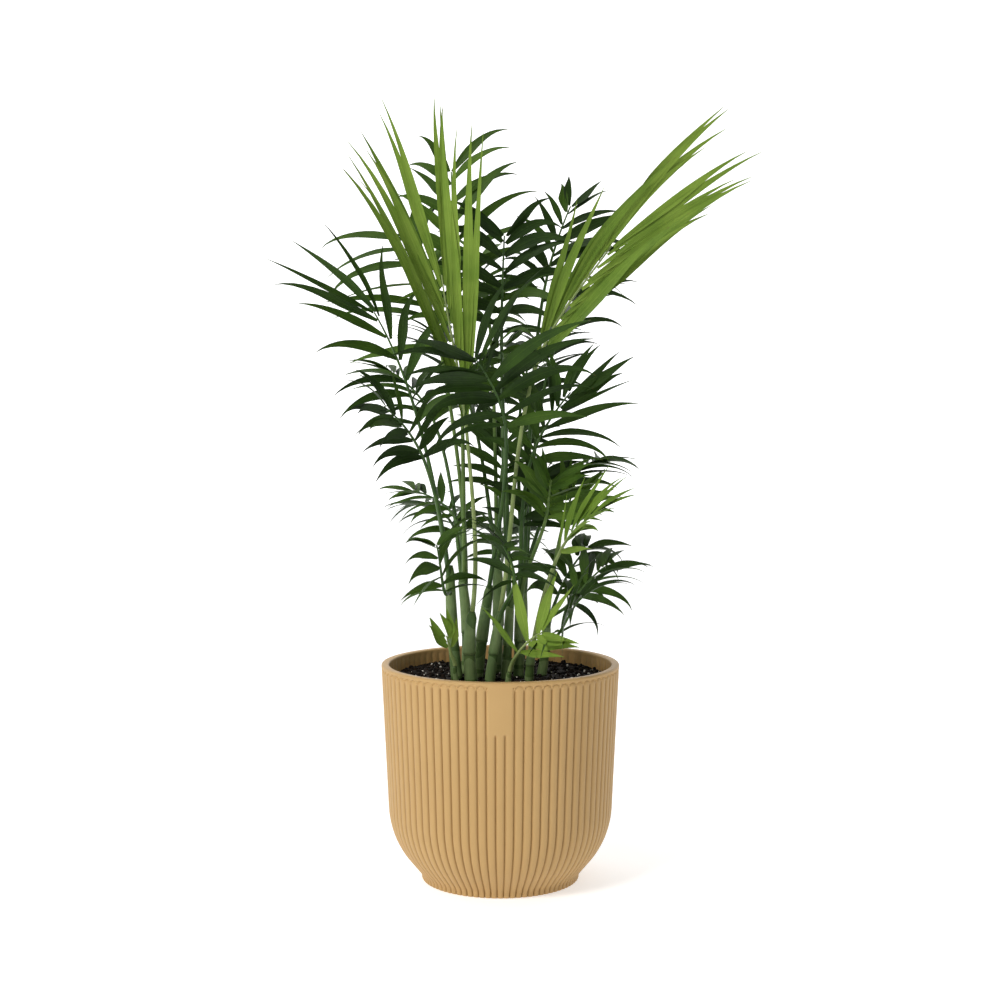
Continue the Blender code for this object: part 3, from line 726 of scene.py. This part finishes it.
@dataclass
class Soil:
    """The compost: an uneven bed, crumbs that lie on it, and grains of perlite."""

    radius: float = 84.6
    bed_depth: float = 6.0
    rings: int = 40
    turns: int = 144
    edge_drop: float = 1.2
    clod_size: float = 14.0
    unevenness: float = 1.3
    crumbs: int = 1500
    crumb_sizes: tuple = (0.5, 2.2)
    grains: int = 230
    grain_sizes: tuple = (0.5, 1.5)
    finish: SoilFinish = field(default_factory=SoilFinish)
    perlite: PerliteFinish = field(default_factory=PerliteFinish)

    def level(self, x: float, y: float) -> float:
        """The bed's height at a place."""
        share = math.hypot(x, y) / self.radius
        swell = noise.fractal(Vector((x, y, 0.0)) / self.clod_size, 0.9, 2.2, 5)
        return SOIL_LEVEL - self.edge_drop * share**3 + self.unevenness * max(-0.8, min(0.6, swell))

    def build_bed(self) -> bpy.types.Object:
        """A disc primitive inset ring by ring in edit mode, raised into small clods and closed below."""
        low, high = (SOIL_LEVEL - self.bed_depth) * MM, SOIL_LEVEL * MM
        bed = cylinder("soil_bed", self.turns, self.radius * MM, low, high)
        top = (SOIL_LEVEL - 0.1) * MM
        edit_faces(bed, lambda polygon: polygon.center.z > top)
        step = self.radius * MM / (self.rings + 1)
        for _ in range(self.rings):
            bpy.ops.mesh.inset(thickness=step, depth=0.0)
        bpy.ops.object.mode_set(mode="OBJECT")
        for vertex in bed.data.vertices:
            if vertex.co.z > top:
                x, y = vertex.co.x / MM, vertex.co.y / MM
                vertex.co.z = self.level(x, y) * MM
        bed.data.shade_smooth()
        bed.data.materials.append(self.finish.material())
        settle(bed, ["potting_soil"])
        return bed

    def scatter(self, name: str, count: int, sizes: tuple, material: bpy.types.Material) -> None:
        """Many lumps on the bed, joined: each an icosahedron pushed out of shape.

        Args:
            name: the piece's name.
            count: how many lumps.
            sizes: the least and largest radius in millimetres.
            material: their finish.
        """
        draw = random.Random(f"{SEED} {name}")
        bpy.ops.object.select_all(action="DESELECT")
        bpy.ops.mesh.primitive_ico_sphere_add(subdivisions=1, radius=1.0)
        seed_lump = bpy.context.object
        corners = [vertex.co.copy() for vertex in seed_lump.data.vertices]
        faces = [tuple(polygon.vertices) for polygon in seed_lump.data.polygons]
        bpy.data.objects.remove(seed_lump)
        lumps = Mesh()
        for _ in range(count):
            reach = (self.radius - 2.0) * math.sqrt(draw.random())
            angle = draw.uniform(0.0, math.tau)
            x, y = reach * math.cos(angle), reach * math.sin(angle)
            size = lerp(sizes[0], sizes[1], draw.random() ** 2)
            centre = Vector((x, y, self.level(x, y) + size * 0.35))
            spin = draw.uniform(0, math.tau)
            turn = Matrix.Rotation(spin, 3, Vector((draw.random(), draw.random(), 1)).normalized())
            squash = Vector((draw.uniform(0.7, 1.3), draw.uniform(0.7, 1.3), draw.uniform(0.5, 0.9)))
            points = []
            for corner in corners:
                swollen = corner * draw.uniform(0.75, 1.2) * size
                points.append(centre + turn @ Vector(a * b for a, b in zip(swollen, squash)))
            lumps.add(points, faces, [(0.0, 0.0)] * len(points))
        settle(lumps.made(name, [material]), [])

    def build(self) -> None:
        """Builds the bed, the crumbs and the perlite."""
        bed = self.build_bed()
        self.scatter("soil_crumbs", self.crumbs, self.crumb_sizes, bed.data.materials[0])
        self.scatter("perlite_grains", self.grains, self.grain_sizes, self.perlite.material())


# Canes and fronds


@dataclass(frozen=True)
class Cane:
    """A cane from its foot on the soil to its tip."""

    name: str
    foot: tuple
    tip: tuple
    radius: float
    bow: float = 2.0

    def axis(self, u: float) -> Vector:
        """The point at u on the cane's axis."""
        foot = Vector((*self.foot, SOIL_LEVEL + GAP))
        tip = Vector(self.tip)
        side = Vector((tip.y - foot.y, foot.x - tip.x, 0.0)).normalized()
        return foot.lerp(tip, u) + side * self.bow * math.sin(math.pi * u)


@dataclass(frozen=True)
class Frond:
    """A frond: the cane that carries it, its shoulder and tip, and the habit of its leaflets."""

    name: str
    cane: str
    seat: float
    shoulder: tuple
    tip: tuple
    face: tuple
    pairs: int
    leaflet: float
    width: float = 8.5
    spread: tuple = (62, 30, 62, 30)
    lift: tuple = (12.0, 12.0)
    droop: tuple = (60, 40)
    bend: tuple = (1.0, 1.0)
    taper: tuple = (0.75, 1.0, 0.75)
    sides: tuple = (1.0, 1.0)
    widest: float = 0.36
    arch: float = 0.3
    wild: float = 1.0
    tone: str = "deep"


CANES = (
    Cane("cane_left", (-33, -20), (-38, -24, 246), 4.0),
    Cane("cane_pale", (-22, -30), (-21, -33, 212), 4.4),
    Cane("cane_left_inner", (-18, -12), (-8, -14, 230), 4.3),
    Cane("cane_front", (-8, -30), (0, -32, 212), 3.6),
    Cane("cane_middle", (4, -20), (8, -20, 224), 3.4),
    Cane("cane_right_inner", (14, -10), (15, -10, 228), 3.6),
    Cane("cane_right", (22, -24), (25, -25, 188), 3.2),
    Cane("cane_back_left", (-26, 8), (-30, 14, 236), 4.0),
    Cane("cane_back_middle", (-4, 12), (-3, 18, 250), 4.2),
    Cane("cane_back_right", (14, 12), (17, 18, 238), 3.8),
    Cane("cane_far_right", (32, 0), (36, 3, 205), 3.4),
    Cane("shoot_left", (-33, -38), (-34, -40, 172), 1.8, 0.5),
    Cane("shoot_front", (6, -42), (7, -44, 168), 2.0, 0.5),
)

FRONDS = (
    # Opening fronds, pale and upright
    Frond("spear_left", "cane_pale", 1.0, (-25, -45, 349), (-43, -55, 463), (0.3, -1, 0), 7, 222,
          7.5, (8, 8, 6, 4), lift=(27, 3), droop=(24, 12), bend=(1.0, 0.3),
          taper=(1.0, 0.82, 0.62), widest=0.45, arch=-0.3, wild=0.3, tone="fresh"),
    Frond("spear_right", "cane_front", 1.0, (27, -50, 398), (82, -45, 485), (0.2, -1, 0.2), 8, 158,
          8.5, (5, 2, 15, 12), lift=(27, 3), droop=(14, 12), taper=(0.9, 1.0, 0.88), widest=0.45,
          arch=0.1, wild=0.3, tone="fresh"),
    # High fronds
    Frond("frond_top_middle", "cane_back_left", 0.97, (-31, 10, 425), (-38, 25, 547), (0, -1, 0.2),
          7, 82, 9, (62, 28, 66, 34), lift=(10, 10), droop=(50, 45), sides=(0.75, 1.0), arch=-0.2,
          tone="mid"),
    Frond("frond_top_inner", "cane_middle", 0.97, (1, -10, 420), (3, -25, 494), (0, -1, 0.3), 6,
          70, 8.5, (66, 30, 66, 30), droop=(70, 60)),
    Frond("frond_top_right", "cane_back_right", 0.97, (32, 20, 444), (55, 40, 522), (0.1, -1, 0.3),
          6, 84, 8, (58, 14, 62, 22), droop=(60, 22), taper=(1.0, 0.85, 0.55), sides=(0.62, 1.0)),
    Frond("frond_top_left", "cane_back_left", 0.88, (-46, 20, 408), (-73, 45, 496),
          (-0.1, -1, 0.2), 5, 100, 8.5, (76, 50, 50, 25), droop=(20, 45), sides=(1.0, 0.7),
          tone="mid"),
    # Left fronds
    Frond("frond_left_high", "cane_left", 0.97, (-60, -30, 350), (-93, -45, 436), (0.2, -1, 0.3),
          5, 98, 7, (56, 32, 52, -6), droop=(75, 8), taper=(0.6, 0.72, 1.0), sides=(1.0, 0.9)),
    Frond("frond_left_front", "cane_left", 0.86, (-55, -60, 325), (-82, -100, 367),
          (0.2, -0.9, 0.6), 6, 58, 8, (45, 12, 78, 22), droop=(50, 25), taper=(1.0, 1.0, 1.0),
          sides=(1.0, 0.75)),
    Frond("frond_left_back", "cane_back_left", 0.79, (-34, 25, 275), (-70, 55, 298), (0, -0.5, 1),
          5, 42, 7, (65, 25, 65, 25), droop=(50, 30)),
    Frond("frond_left_low", "cane_left", 0.74, (-41, -45, 227), (-46, -85, 267), (-0.2, -0.7, 1),
          5, 50, 8, (72, 45, 60, 20), droop=(55, 35)),
    # Middle fronds
    Frond("frond_middle_high", "cane_left_inner", 0.97, (4, -60, 350), (-18, -100, 402),
          (0, -1, 0.5), 6, 104, 9, (62, 16, 80, 50), droop=(60, 30), taper=(0.6, 0.8, 1.0)),
    Frond("frond_middle_inner", "cane_middle", 0.86, (2, -35, 371), (0, -75, 415), (0, -1, 0.6), 5,
          52, 12, (60, 30, 60, 30), droop=(95, 80)),
    Frond("frond_middle_low", "cane_front", 0.85, (10, -60, 235), (2, -105, 269), (0, -0.8, 0.9),
          6, 50, 9, (72, 20, 72, 30), droop=(45, 15)),
    Frond("frond_middle_back", "cane_back_middle", 0.97, (0, 25, 300), (6, 50, 347),
          (0, -0.8, 0.6), 6, 56, 8.5, (66, 30, 66, 30), droop=(50, 35)),
    Frond("frond_middle_dark", "cane_right_inner", 0.78, (17, 5, 271), (29, 10, 311), (0, -1, 0.4),
          5, 52, 9, (60, 28, 60, 28), droop=(50, 30)),
    # Right fronds
    Frond("frond_right_high", "cane_right_inner", 0.97, (22, -25, 322), (53, -20, 377),
          (0.1, -1, 0.3), 6, 74, 8, (62, 20, 52, 8), droop=(60, 12), sides=(0.85, 1.0)),
    Frond("frond_right_middle", "cane_right_inner", 0.88, (34, -30, 281), (38, -45, 312),
          (0.1, -1, 0.4), 5, 54, 8, (45, 10, 66, 35), droop=(50, 15), tone="mid"),
    Frond("frond_right_bright", "cane_far_right", 0.97, (47, -5, 271), (57, 0, 302), (0, -1, 0.3),
          4, 44, 7.5, (50, 10, 60, 25), droop=(30, 10), tone="mid"),
    Frond("frond_right_front", "cane_right", 0.97, (43, -60, 258), (66, -95, 289), (0, -0.7, 0.8),
          5, 66, 6, (40, 4, 40, 12), droop=(14, 8), wild=0.7, tone="fresh"),
    Frond("frond_right_low", "cane_far_right", 0.84, (50, -15, 213), (83, 5, 243), (0, -0.6, 1), 6,
          52, 6.5, (58, 18, 58, 20), droop=(55, 35)),
    Frond("frond_right_lower", "cane_right", 0.8, (39, -45, 192), (60, -75, 228), (0.2, -0.6, 1),
          5, 60, 6.5, (55, 20, 66, 35), droop=(55, 55)),
    Frond("frond_right_hanging", "cane_far_right", 0.7, (44, 15, 216), (69, 35, 254), (0, -0.6, 1),
          5, 48, 10, (60, 30, 60, 30), droop=(85, 70)),
    # Back fronds
    Frond("frond_back_high_left", "cane_back_middle", 0.88, (-20, 50, 350), (-50, 115, 420),
          (0, 0.5, 1), 7, 75),
    Frond("frond_back_high_right", "cane_back_right", 0.88, (15, 55, 350), (30, 125, 420),
          (0, 0.5, 1), 7, 75),
    Frond("frond_back_right", "cane_back_right", 0.78, (40, 45, 290), (80, 100, 320),
          (0.3, 0.4, 1), 6, 62),
    Frond("frond_back_left", "cane_back_left", 0.7, (-34, 45, 262), (-62, 100, 285),
          (-0.3, 0.4, 1), 6, 55),
    Frond("frond_back_low", "cane_back_middle", 0.78, (2, 50, 245), (0, 110, 262), (0, 0.3, 1), 6,
          58),
    Frond("frond_back_top", "cane_back_middle", 0.8, (-8, 62, 425), (-18, 118, 487), (0, 0.4, 1),
          6, 70, 8.5, (62, 26, 62, 26), droop=(55, 35), tone="mid"),
    Frond("frond_back_top_right", "cane_back_right", 0.68, (40, 62, 400), (72, 98, 455),
          (0.2, 0.4, 1), 6, 62, 8.5, (60, 26, 60, 26), droop=(55, 35)),
    Frond("frond_back_side", "cane_back_left", 0.6, (-52, 62, 350), (-88, 98, 392), (-0.3, 0.3, 1),
          6, 60, 8.5, (60, 26, 60, 26), droop=(55, 35)),
    # Young shoots
    Frond("shoot_left_blades", "shoot_left", 1.0, (-37, -44, 182), (-40, -50, 196), (0, -1, 0.2),
          2, 34, 6, (22, 12, 22, 4), droop=(10, 6), wild=0.5, tone="fresh"),
    Frond("shoot_front_blades", "shoot_front", 1.0, (12, -54, 182), (31, -72, 202), (0, -1, 0.6),
          3, 60, 8, (80, 40, 40, 25), droop=(8, 4), wild=0.5, tone="fresh"),
)


@dataclass
class Station:
    """One place along a frond's stalk: its centre, the frame there and the stalk's radius."""

    centre: Vector
    ahead: Vector
    normal: Vector
    side: Vector
    radius: float


@dataclass
class Canes:
    """All the canes, ringed by old leaf scars, with the green sheaths that clasp them."""

    sides: int = 14
    steps: int = 44
    ring_gap: float = 23.0
    ring_rise: float = 0.05
    ring_sharpness: float = 12.0
    foot_share: float = 1.12
    taper: float = 0.26
    tip_from: float = 0.92
    tip_share: float = 0.5
    sheath_steps: int = 12
    sheath_spans: tuple = ((-0.005, 0.55), (0.4, 0.97))
    shoot_spans: tuple = ((0.1, 0.9),)
    shoot_length: float = 30.0
    sheath_shares: tuple = (1.14, 0.96)
    slant_share: float = 0.22
    finish: StemFinish = field(default_factory=lambda: StemFinish(
        "cane_green", (0.035, 0.082, 0.018), (0.105, 0.165, 0.045)))
    sheath_finish: StemFinish = field(default_factory=lambda: StemFinish(
        "leaf_sheath", (0.085, 0.150, 0.050), (0.190, 0.260, 0.100), papery_from=1.22))

    def build(self) -> None:
        """Builds the canes as one piece and the sheaths as another."""
        stems, sheaths = Mesh(), Mesh()
        for cane in CANES:
            draw = random.Random(f"{SEED} {cane.name}")
            length = (Vector(cane.tip) - Vector((*cane.foot, SOIL_LEVEL))).length
            centres = [cane.axis(k / self.steps) for k in range(self.steps + 1)]
            start = draw.uniform(0.0, self.ring_gap)
            radii = []
            for k in range(self.steps + 1):
                u = k / self.steps
                share = self.foot_share - self.taper * min(u, self.tip_from)
                drawn_in = max(0.0, (u - self.tip_from) / (1.0 - self.tip_from))
                phase = ((u * length + start) % self.ring_gap) / self.ring_gap
                ring = self.ring_rise * math.exp(-((phase - 0.5) * self.ring_sharpness) ** 2)
                radii.append(cane.radius * (lerp(share, self.tip_share, drawn_in) + ring))
            stems.add(*tube(centres, radii, self.sides))
            self.add_sheath(sheaths, cane, draw, length)
        stems_piece = stems.made("cane_stems", [self.finish.material()])
        settle(stems_piece, [cane.name for cane in CANES])
        settle(sheaths.made("leaf_sheaths", [self.sheath_finish.material()]), [])

    def add_sheath(self, sheaths: Mesh, cane: Cane, draw: random.Random, length: float) -> None:
        """Wraps one or two sheaths round a cane, each open in a slant at its top.

        Args:
            sheaths: the joined mesh that takes them.
            cane: the cane that they clasp.
            draw: the cane's own numbers.
            length: the cane's length in millimetres.
        """
        steps = self.sheath_steps
        for low, high in self.sheath_spans if length > self.shoot_length else self.shoot_spans:
            slant = draw.uniform(0.0, math.tau)
            high += draw.uniform(-0.12, 0.0)

            def grow(k: int, turn: float, slant: float = slant) -> float:
                return 1.0 - self.slant_share * (k / steps) ** 3 * (1 - math.cos(turn - slant)) / 2

            centres = [cane.axis(lerp(low, high, k / steps)) for k in range(steps + 1)]
            radii = [cane.radius * lerp(*self.sheath_shares, (k / steps) ** 1.5) for k in range(steps + 1)]
            sheaths.add(*tube(centres, radii, self.sides, grow))


@dataclass
class Crown:
    """The fronds, grown by the rule of the part's solids with more and finer leaflets."""

    more: float = 1.15
    leaf_steps: int = 11
    stalk_steps: int = 30
    stalk_sides: int = 8
    narrowing: float = 1.1
    rachis_tip: float = 0.55
    first_turn: float = 0.12
    full_turn: float = 1.1
    curl: float = 26.0
    sweep_spread: float = 6.0
    lift_spread: float = 11.0
    length_spread: float = 0.09
    roll_spread: float = 22.0
    breadths: tuple = (0.78, 1.22)
    folds: tuple = (34.0, 12.0)
    root_breadth: float = 0.34
    tip_breadth: float = 0.03
    pair_shift: float = 0.25
    favourite_share: float = 0.6

    def curve(self, frond: Frond) -> Callable[[float], Vector]:
        """The frond's stalk as a function: 0 to 1 is the petiole, 1 to 2 the rachis."""
        cane = next(cane for cane in CANES if cane.name == frond.cane)
        seat = cane.axis(frond.seat)
        rise = (cane.axis(1.0) - cane.axis(0.8)).normalized()
        shoulder, tip = Vector(frond.shoulder), Vector(frond.tip)
        out = square_to(rise, shoulder - seat)
        if frond.seat < 1.0:
            seat = seat + out * (cane.radius * 0.5)
            leave = (rise + out * 0.12).normalized()
        else:
            leave = rise
        reach = (shoulder - seat).length
        length = (tip - shoulder).length
        through = ((shoulder - seat).normalized() * 0.6 + (tip - shoulder).normalized() * 0.4).normalized()
        end = ((tip - shoulder).normalized() + Vector((0, 0, -frond.arch))).normalized()

        def point(u: float) -> Vector:
            if u <= 1.0:
                return bezier(seat, seat + leave * reach / 3, shoulder - through * reach / 3, shoulder, u)
            return bezier(shoulder, shoulder + through * length / 3, tip - end * length / 3, tip, u - 1.0)

        return point

    def station(self, frond: Frond, point: Callable[[float], Vector], u: float) -> Station:
        """The frame of a stalk at u."""
        step = 0.01
        ahead = (point(min(u + step, 2.0)) - point(max(u - step, 0.0))).normalized()
        normal = square_to(ahead, Vector(frond.face))
        radius = lerp(PETIOLE_RADIUS, RACHIS_END_RADIUS, u / 2)
        return Station(point(u), ahead, normal, ahead.cross(normal), radius)

    def leaflet(self, frond: Frond, at: Station, hand: int, u: float, draw: random.Random) -> tuple:
        """One leaflet: a folded blade that droops and curls to a thin tip.

        Args:
            frond: the frond it belongs to.
            at: where it leaves the stalk.
            hand: -1 for the left and 1 for the right of the stalk.
            u: its share of the way along the rachis.
            draw: the frond's own numbers.

        Returns:
            Its points, faces and UV pairs.
        """
        sweep = draw.gauss(0, self.sweep_spread) * frond.wild
        lift = draw.gauss(0, self.lift_spread) * frond.wild
        stretch = 1.0 - abs(draw.gauss(0, self.length_spread))
        roll = draw.gauss(0, self.roll_spread) * frond.wild
        curl = self.curl * draw.uniform(-0.3, 1.5) * frond.wild
        slack = 1.0 + draw.uniform(-0.4, 0.35) * frond.wild
        breadth = draw.uniform(*self.breadths)
        first, last = frond.spread[:2] if hand < 0 else frond.spread[2:]
        angle = math.radians(lerp(first, last, u) + sweep)
        raised = math.radians(lerp(*frond.lift, u) + lift)
        out = at.side * hand
        beside = out * math.cos(raised) + at.normal * math.sin(raised)
        ahead = (at.ahead * math.cos(angle) + beside * math.sin(angle)).normalized()
        normal = square_to(ahead, at.normal * math.cos(raised) - out * math.sin(raised))
        normal = Matrix.Rotation(math.radians(roll) * hand, 3, ahead) @ normal
        which = 0 if hand < 0 else 1
        length = frond.leaflet * three_point(*frond.taper, u) * stretch * frond.sides[which]
        width = frond.width * self.narrowing * breadth * (0.85 + 0.15 * math.sin(math.pi * u))
        drooping = lerp(*frond.droop, u) * frond.bend[which] * slack
        fall = Vector((0, 0, -1)) + out * 0.35
        aside = max(0.0, math.cos(angle * 2))
        inward = at.ahead * math.sin(angle) - beside * math.cos(angle)
        centre = at.centre + out * at.radius * 0.5
        points, uvs = [], []
        turned = 0.0
        step = length / self.leaf_steps
        for k in range(self.leaf_steps + 1):
            s = k / self.leaf_steps
            wanted = drooping * lerp(self.first_turn, self.full_turn, s**1.25) + curl * s**4
            down = square_to(ahead, fall)
            turn = math.radians(wanted - turned)
            turned = wanted
            ahead = (ahead * math.cos(turn) + down * math.sin(turn)).normalized()
            normal = square_to(ahead, normal)
            across = ahead.cross(normal)
            if across.dot(inward) < 0:
                across = -across
            inward = across
            half = width / 2 * self.breadth(s, frond.widest)
            fold = math.radians(lerp(*self.folds, min(1.0, s * 1.6)))
            wing = across * half * math.cos(fold)
            rise = normal * half * math.sin(fold)
            middle = centre + out * aside * half
            points += [middle - wing + rise, middle, middle + wing + rise]
            uvs += [(0.0, s), (0.5, s), (1.0, s)]
            centre = centre + ahead * step
        faces = []
        for k in range(self.leaf_steps):
            a, b = 3 * k, 3 * k + 3
            faces += [(a, a + 1, b + 1, b), (a + 1, a + 2, b + 2, b + 1)]
        return points, faces, uvs

    def breadth(self, s: float, widest: float) -> float:
        """The blade's width at a share of its length, as a share of its greatest."""
        if s < widest:
            return lerp(self.root_breadth, 1.0, math.sin(math.pi / 2 * s / widest))
        fall = (s - widest) / (1.0 - widest)
        return max(self.tip_breadth, (1.0 - fall**1.35) * lerp(1.0, 0.8, fall))

    def build_frond(self, frond: Frond, leaves: Mesh, stalks: Mesh, finishes: int) -> None:
        """Adds a frond's stalk and leaflets to the joined meshes of its tone."""
        point = self.curve(frond)
        draw = random.Random(f"{SEED} {frond.name} fine")
        places = [2 * k / self.stalk_steps for k in range(self.stalk_steps + 1)]
        centres = [point(u) for u in places]
        radii = [lerp(PETIOLE_RADIUS * 0.95, self.rachis_tip, (u / 2) ** 1.2) for u in places]
        stalks.add(*tube(centres, radii, self.stalk_sides))
        pairs = max(2, round(frond.pairs * self.more))
        favourite = draw.randrange(finishes)
        for pair in range(pairs):
            u = (pair + 0.5) / pairs
            for hand in (-1, 1):
                shift = draw.uniform(-self.pair_shift, self.pair_shift) / pairs
                at = self.station(frond, point, 1.0 + min(0.995, max(0.01, u + shift)))
                usual = draw.random() < self.favourite_share
                finish = favourite if usual else draw.randrange(finishes)
                leaves.add(*self.leaflet(frond, at, hand, u, draw), finish)
        end = self.station(frond, point, 2.0)
        for hand in (-1, 1):
            leaves.add(*self.leaflet(frond, end, hand, 1.0, draw), favourite)

    def build(self) -> None:
        """Builds the leaflets and stalks of each tone as two joined pieces."""
        for tone in Tone:
            fronds = [frond for frond in FRONDS if frond.tone == tone.value]
            leaves, stalks = Mesh(), Mesh()
            for frond in fronds:
                self.build_frond(frond, leaves, stalks, len(LEAVES[tone]))
            blades = leaves.made(f"leaflets_{tone.value}", [finish.material() for finish in LEAVES[tone]])
            settle(blades, [frond.name for frond in fronds])
            settle(stalks.made(f"stalks_{tone.value}", [STALKS[tone].material()]), [])


# Studio


@dataclass
class Studio:
    """The floor, the backdrop, the lights and the camera of the photograph."""

    floor_size: float = 14.0
    floor_glow: float = 0.52
    backdrop_place: float = 4.0
    backdrop_glow: float = 0.85
    world_strength: float = 0.34
    aim_height: float = 0.28
    camera_place: tuple = (0.0, -1.3435, 0.3874)
    camera_pitch: float = 0.0693
    focal_pixels: float = 1749.5
    frame_pixels: float = 1000.0
    centre_pixel: float = 500.3
    sensor: float = 36.0

    def add_sheet(self, name: str, place: tuple, tilt: float, glow: float) -> None:
        """A wide pale sheet that belongs to the studio, tilted back by some degrees."""
        bpy.ops.object.select_all(action="DESELECT")
        turn = (math.radians(tilt), 0.0, 0.0)
        bpy.ops.mesh.primitive_plane_add(size=self.floor_size, location=place, rotation=turn)
        sheet = bpy.context.object
        sheet.name = name
        sheet.data.materials.append(StudioFinish(name, glow).material())

    def add_light(self, name: str, place: tuple, size: float, power: float, warmth: tuple) -> None:
        """A soft square light that faces the middle of the plant."""
        lamp = bpy.data.lights.new(name, "AREA")
        lamp.size = size
        lamp.energy = power
        lamp.color = warmth
        holder = bpy.data.objects.new(name, lamp)
        holder.location = place
        aim = Vector((0.0, 0.0, self.aim_height)) - Vector(place)
        holder.rotation_euler = aim.to_track_quat("-Z", "Y").to_euler()
        bpy.context.scene.collection.objects.link(holder)

    def build_lights(self) -> None:
        """A key from the upper left, a weak one from above, and a white world."""
        self.add_light("key_light", (-1.5, -1.7, 1.9), 0.8, 46.0, (1.0, 0.985, 0.96))
        self.add_light("top_light", (-0.4, 0.3, 2.2), 1.2, 8.0, (1.0, 1.0, 1.0))
        world = bpy.data.worlds.new("studio_world")
        world.use_nodes = True
        background = world.node_tree.nodes["Background"]
        background.inputs["Color"].default_value = (1.0, 1.0, 1.0, 1.0)
        background.inputs["Strength"].default_value = self.world_strength
        bpy.context.scene.world = world
        bpy.context.scene.view_settings.view_transform = "Standard"

    def build_camera(self) -> None:
        """The camera of the photograph, worked out from the pot's rims and foot."""
        lens = bpy.data.cameras.new("camera")
        lens.sensor_width = self.sensor
        lens.lens = self.focal_pixels / self.frame_pixels * self.sensor
        lens.shift_x = (self.frame_pixels / 2 - self.centre_pixel) / self.frame_pixels
        camera = bpy.data.objects.new("camera", lens)
        camera.location = self.camera_place
        camera.rotation_euler = (math.pi / 2 - self.camera_pitch, 0.0, 0.0)
        bpy.context.scene.collection.objects.link(camera)
        bpy.context.scene.camera = camera

    def build(self) -> None:
        """Builds the floor, the backdrop, the lights and the camera."""
        self.add_sheet("studio_floor", (0.0, 0.0, -0.0005), 0.0, self.floor_glow)
        self.add_sheet("studio_backdrop", (0.0, self.backdrop_place, 0.0), 90.0, self.backdrop_glow)
        self.build_lights()
        self.build_camera()


def main() -> None:
    """Builds the pot, the soil, the canes, the crown and the studio."""
    logging.basicConfig(level=logging.INFO, format="%(message)s")
    Pot().build()
    Soil().build()
    Canes().build()
    Crown().build()
    Studio().build()


if __name__ == "__main__":
    main()
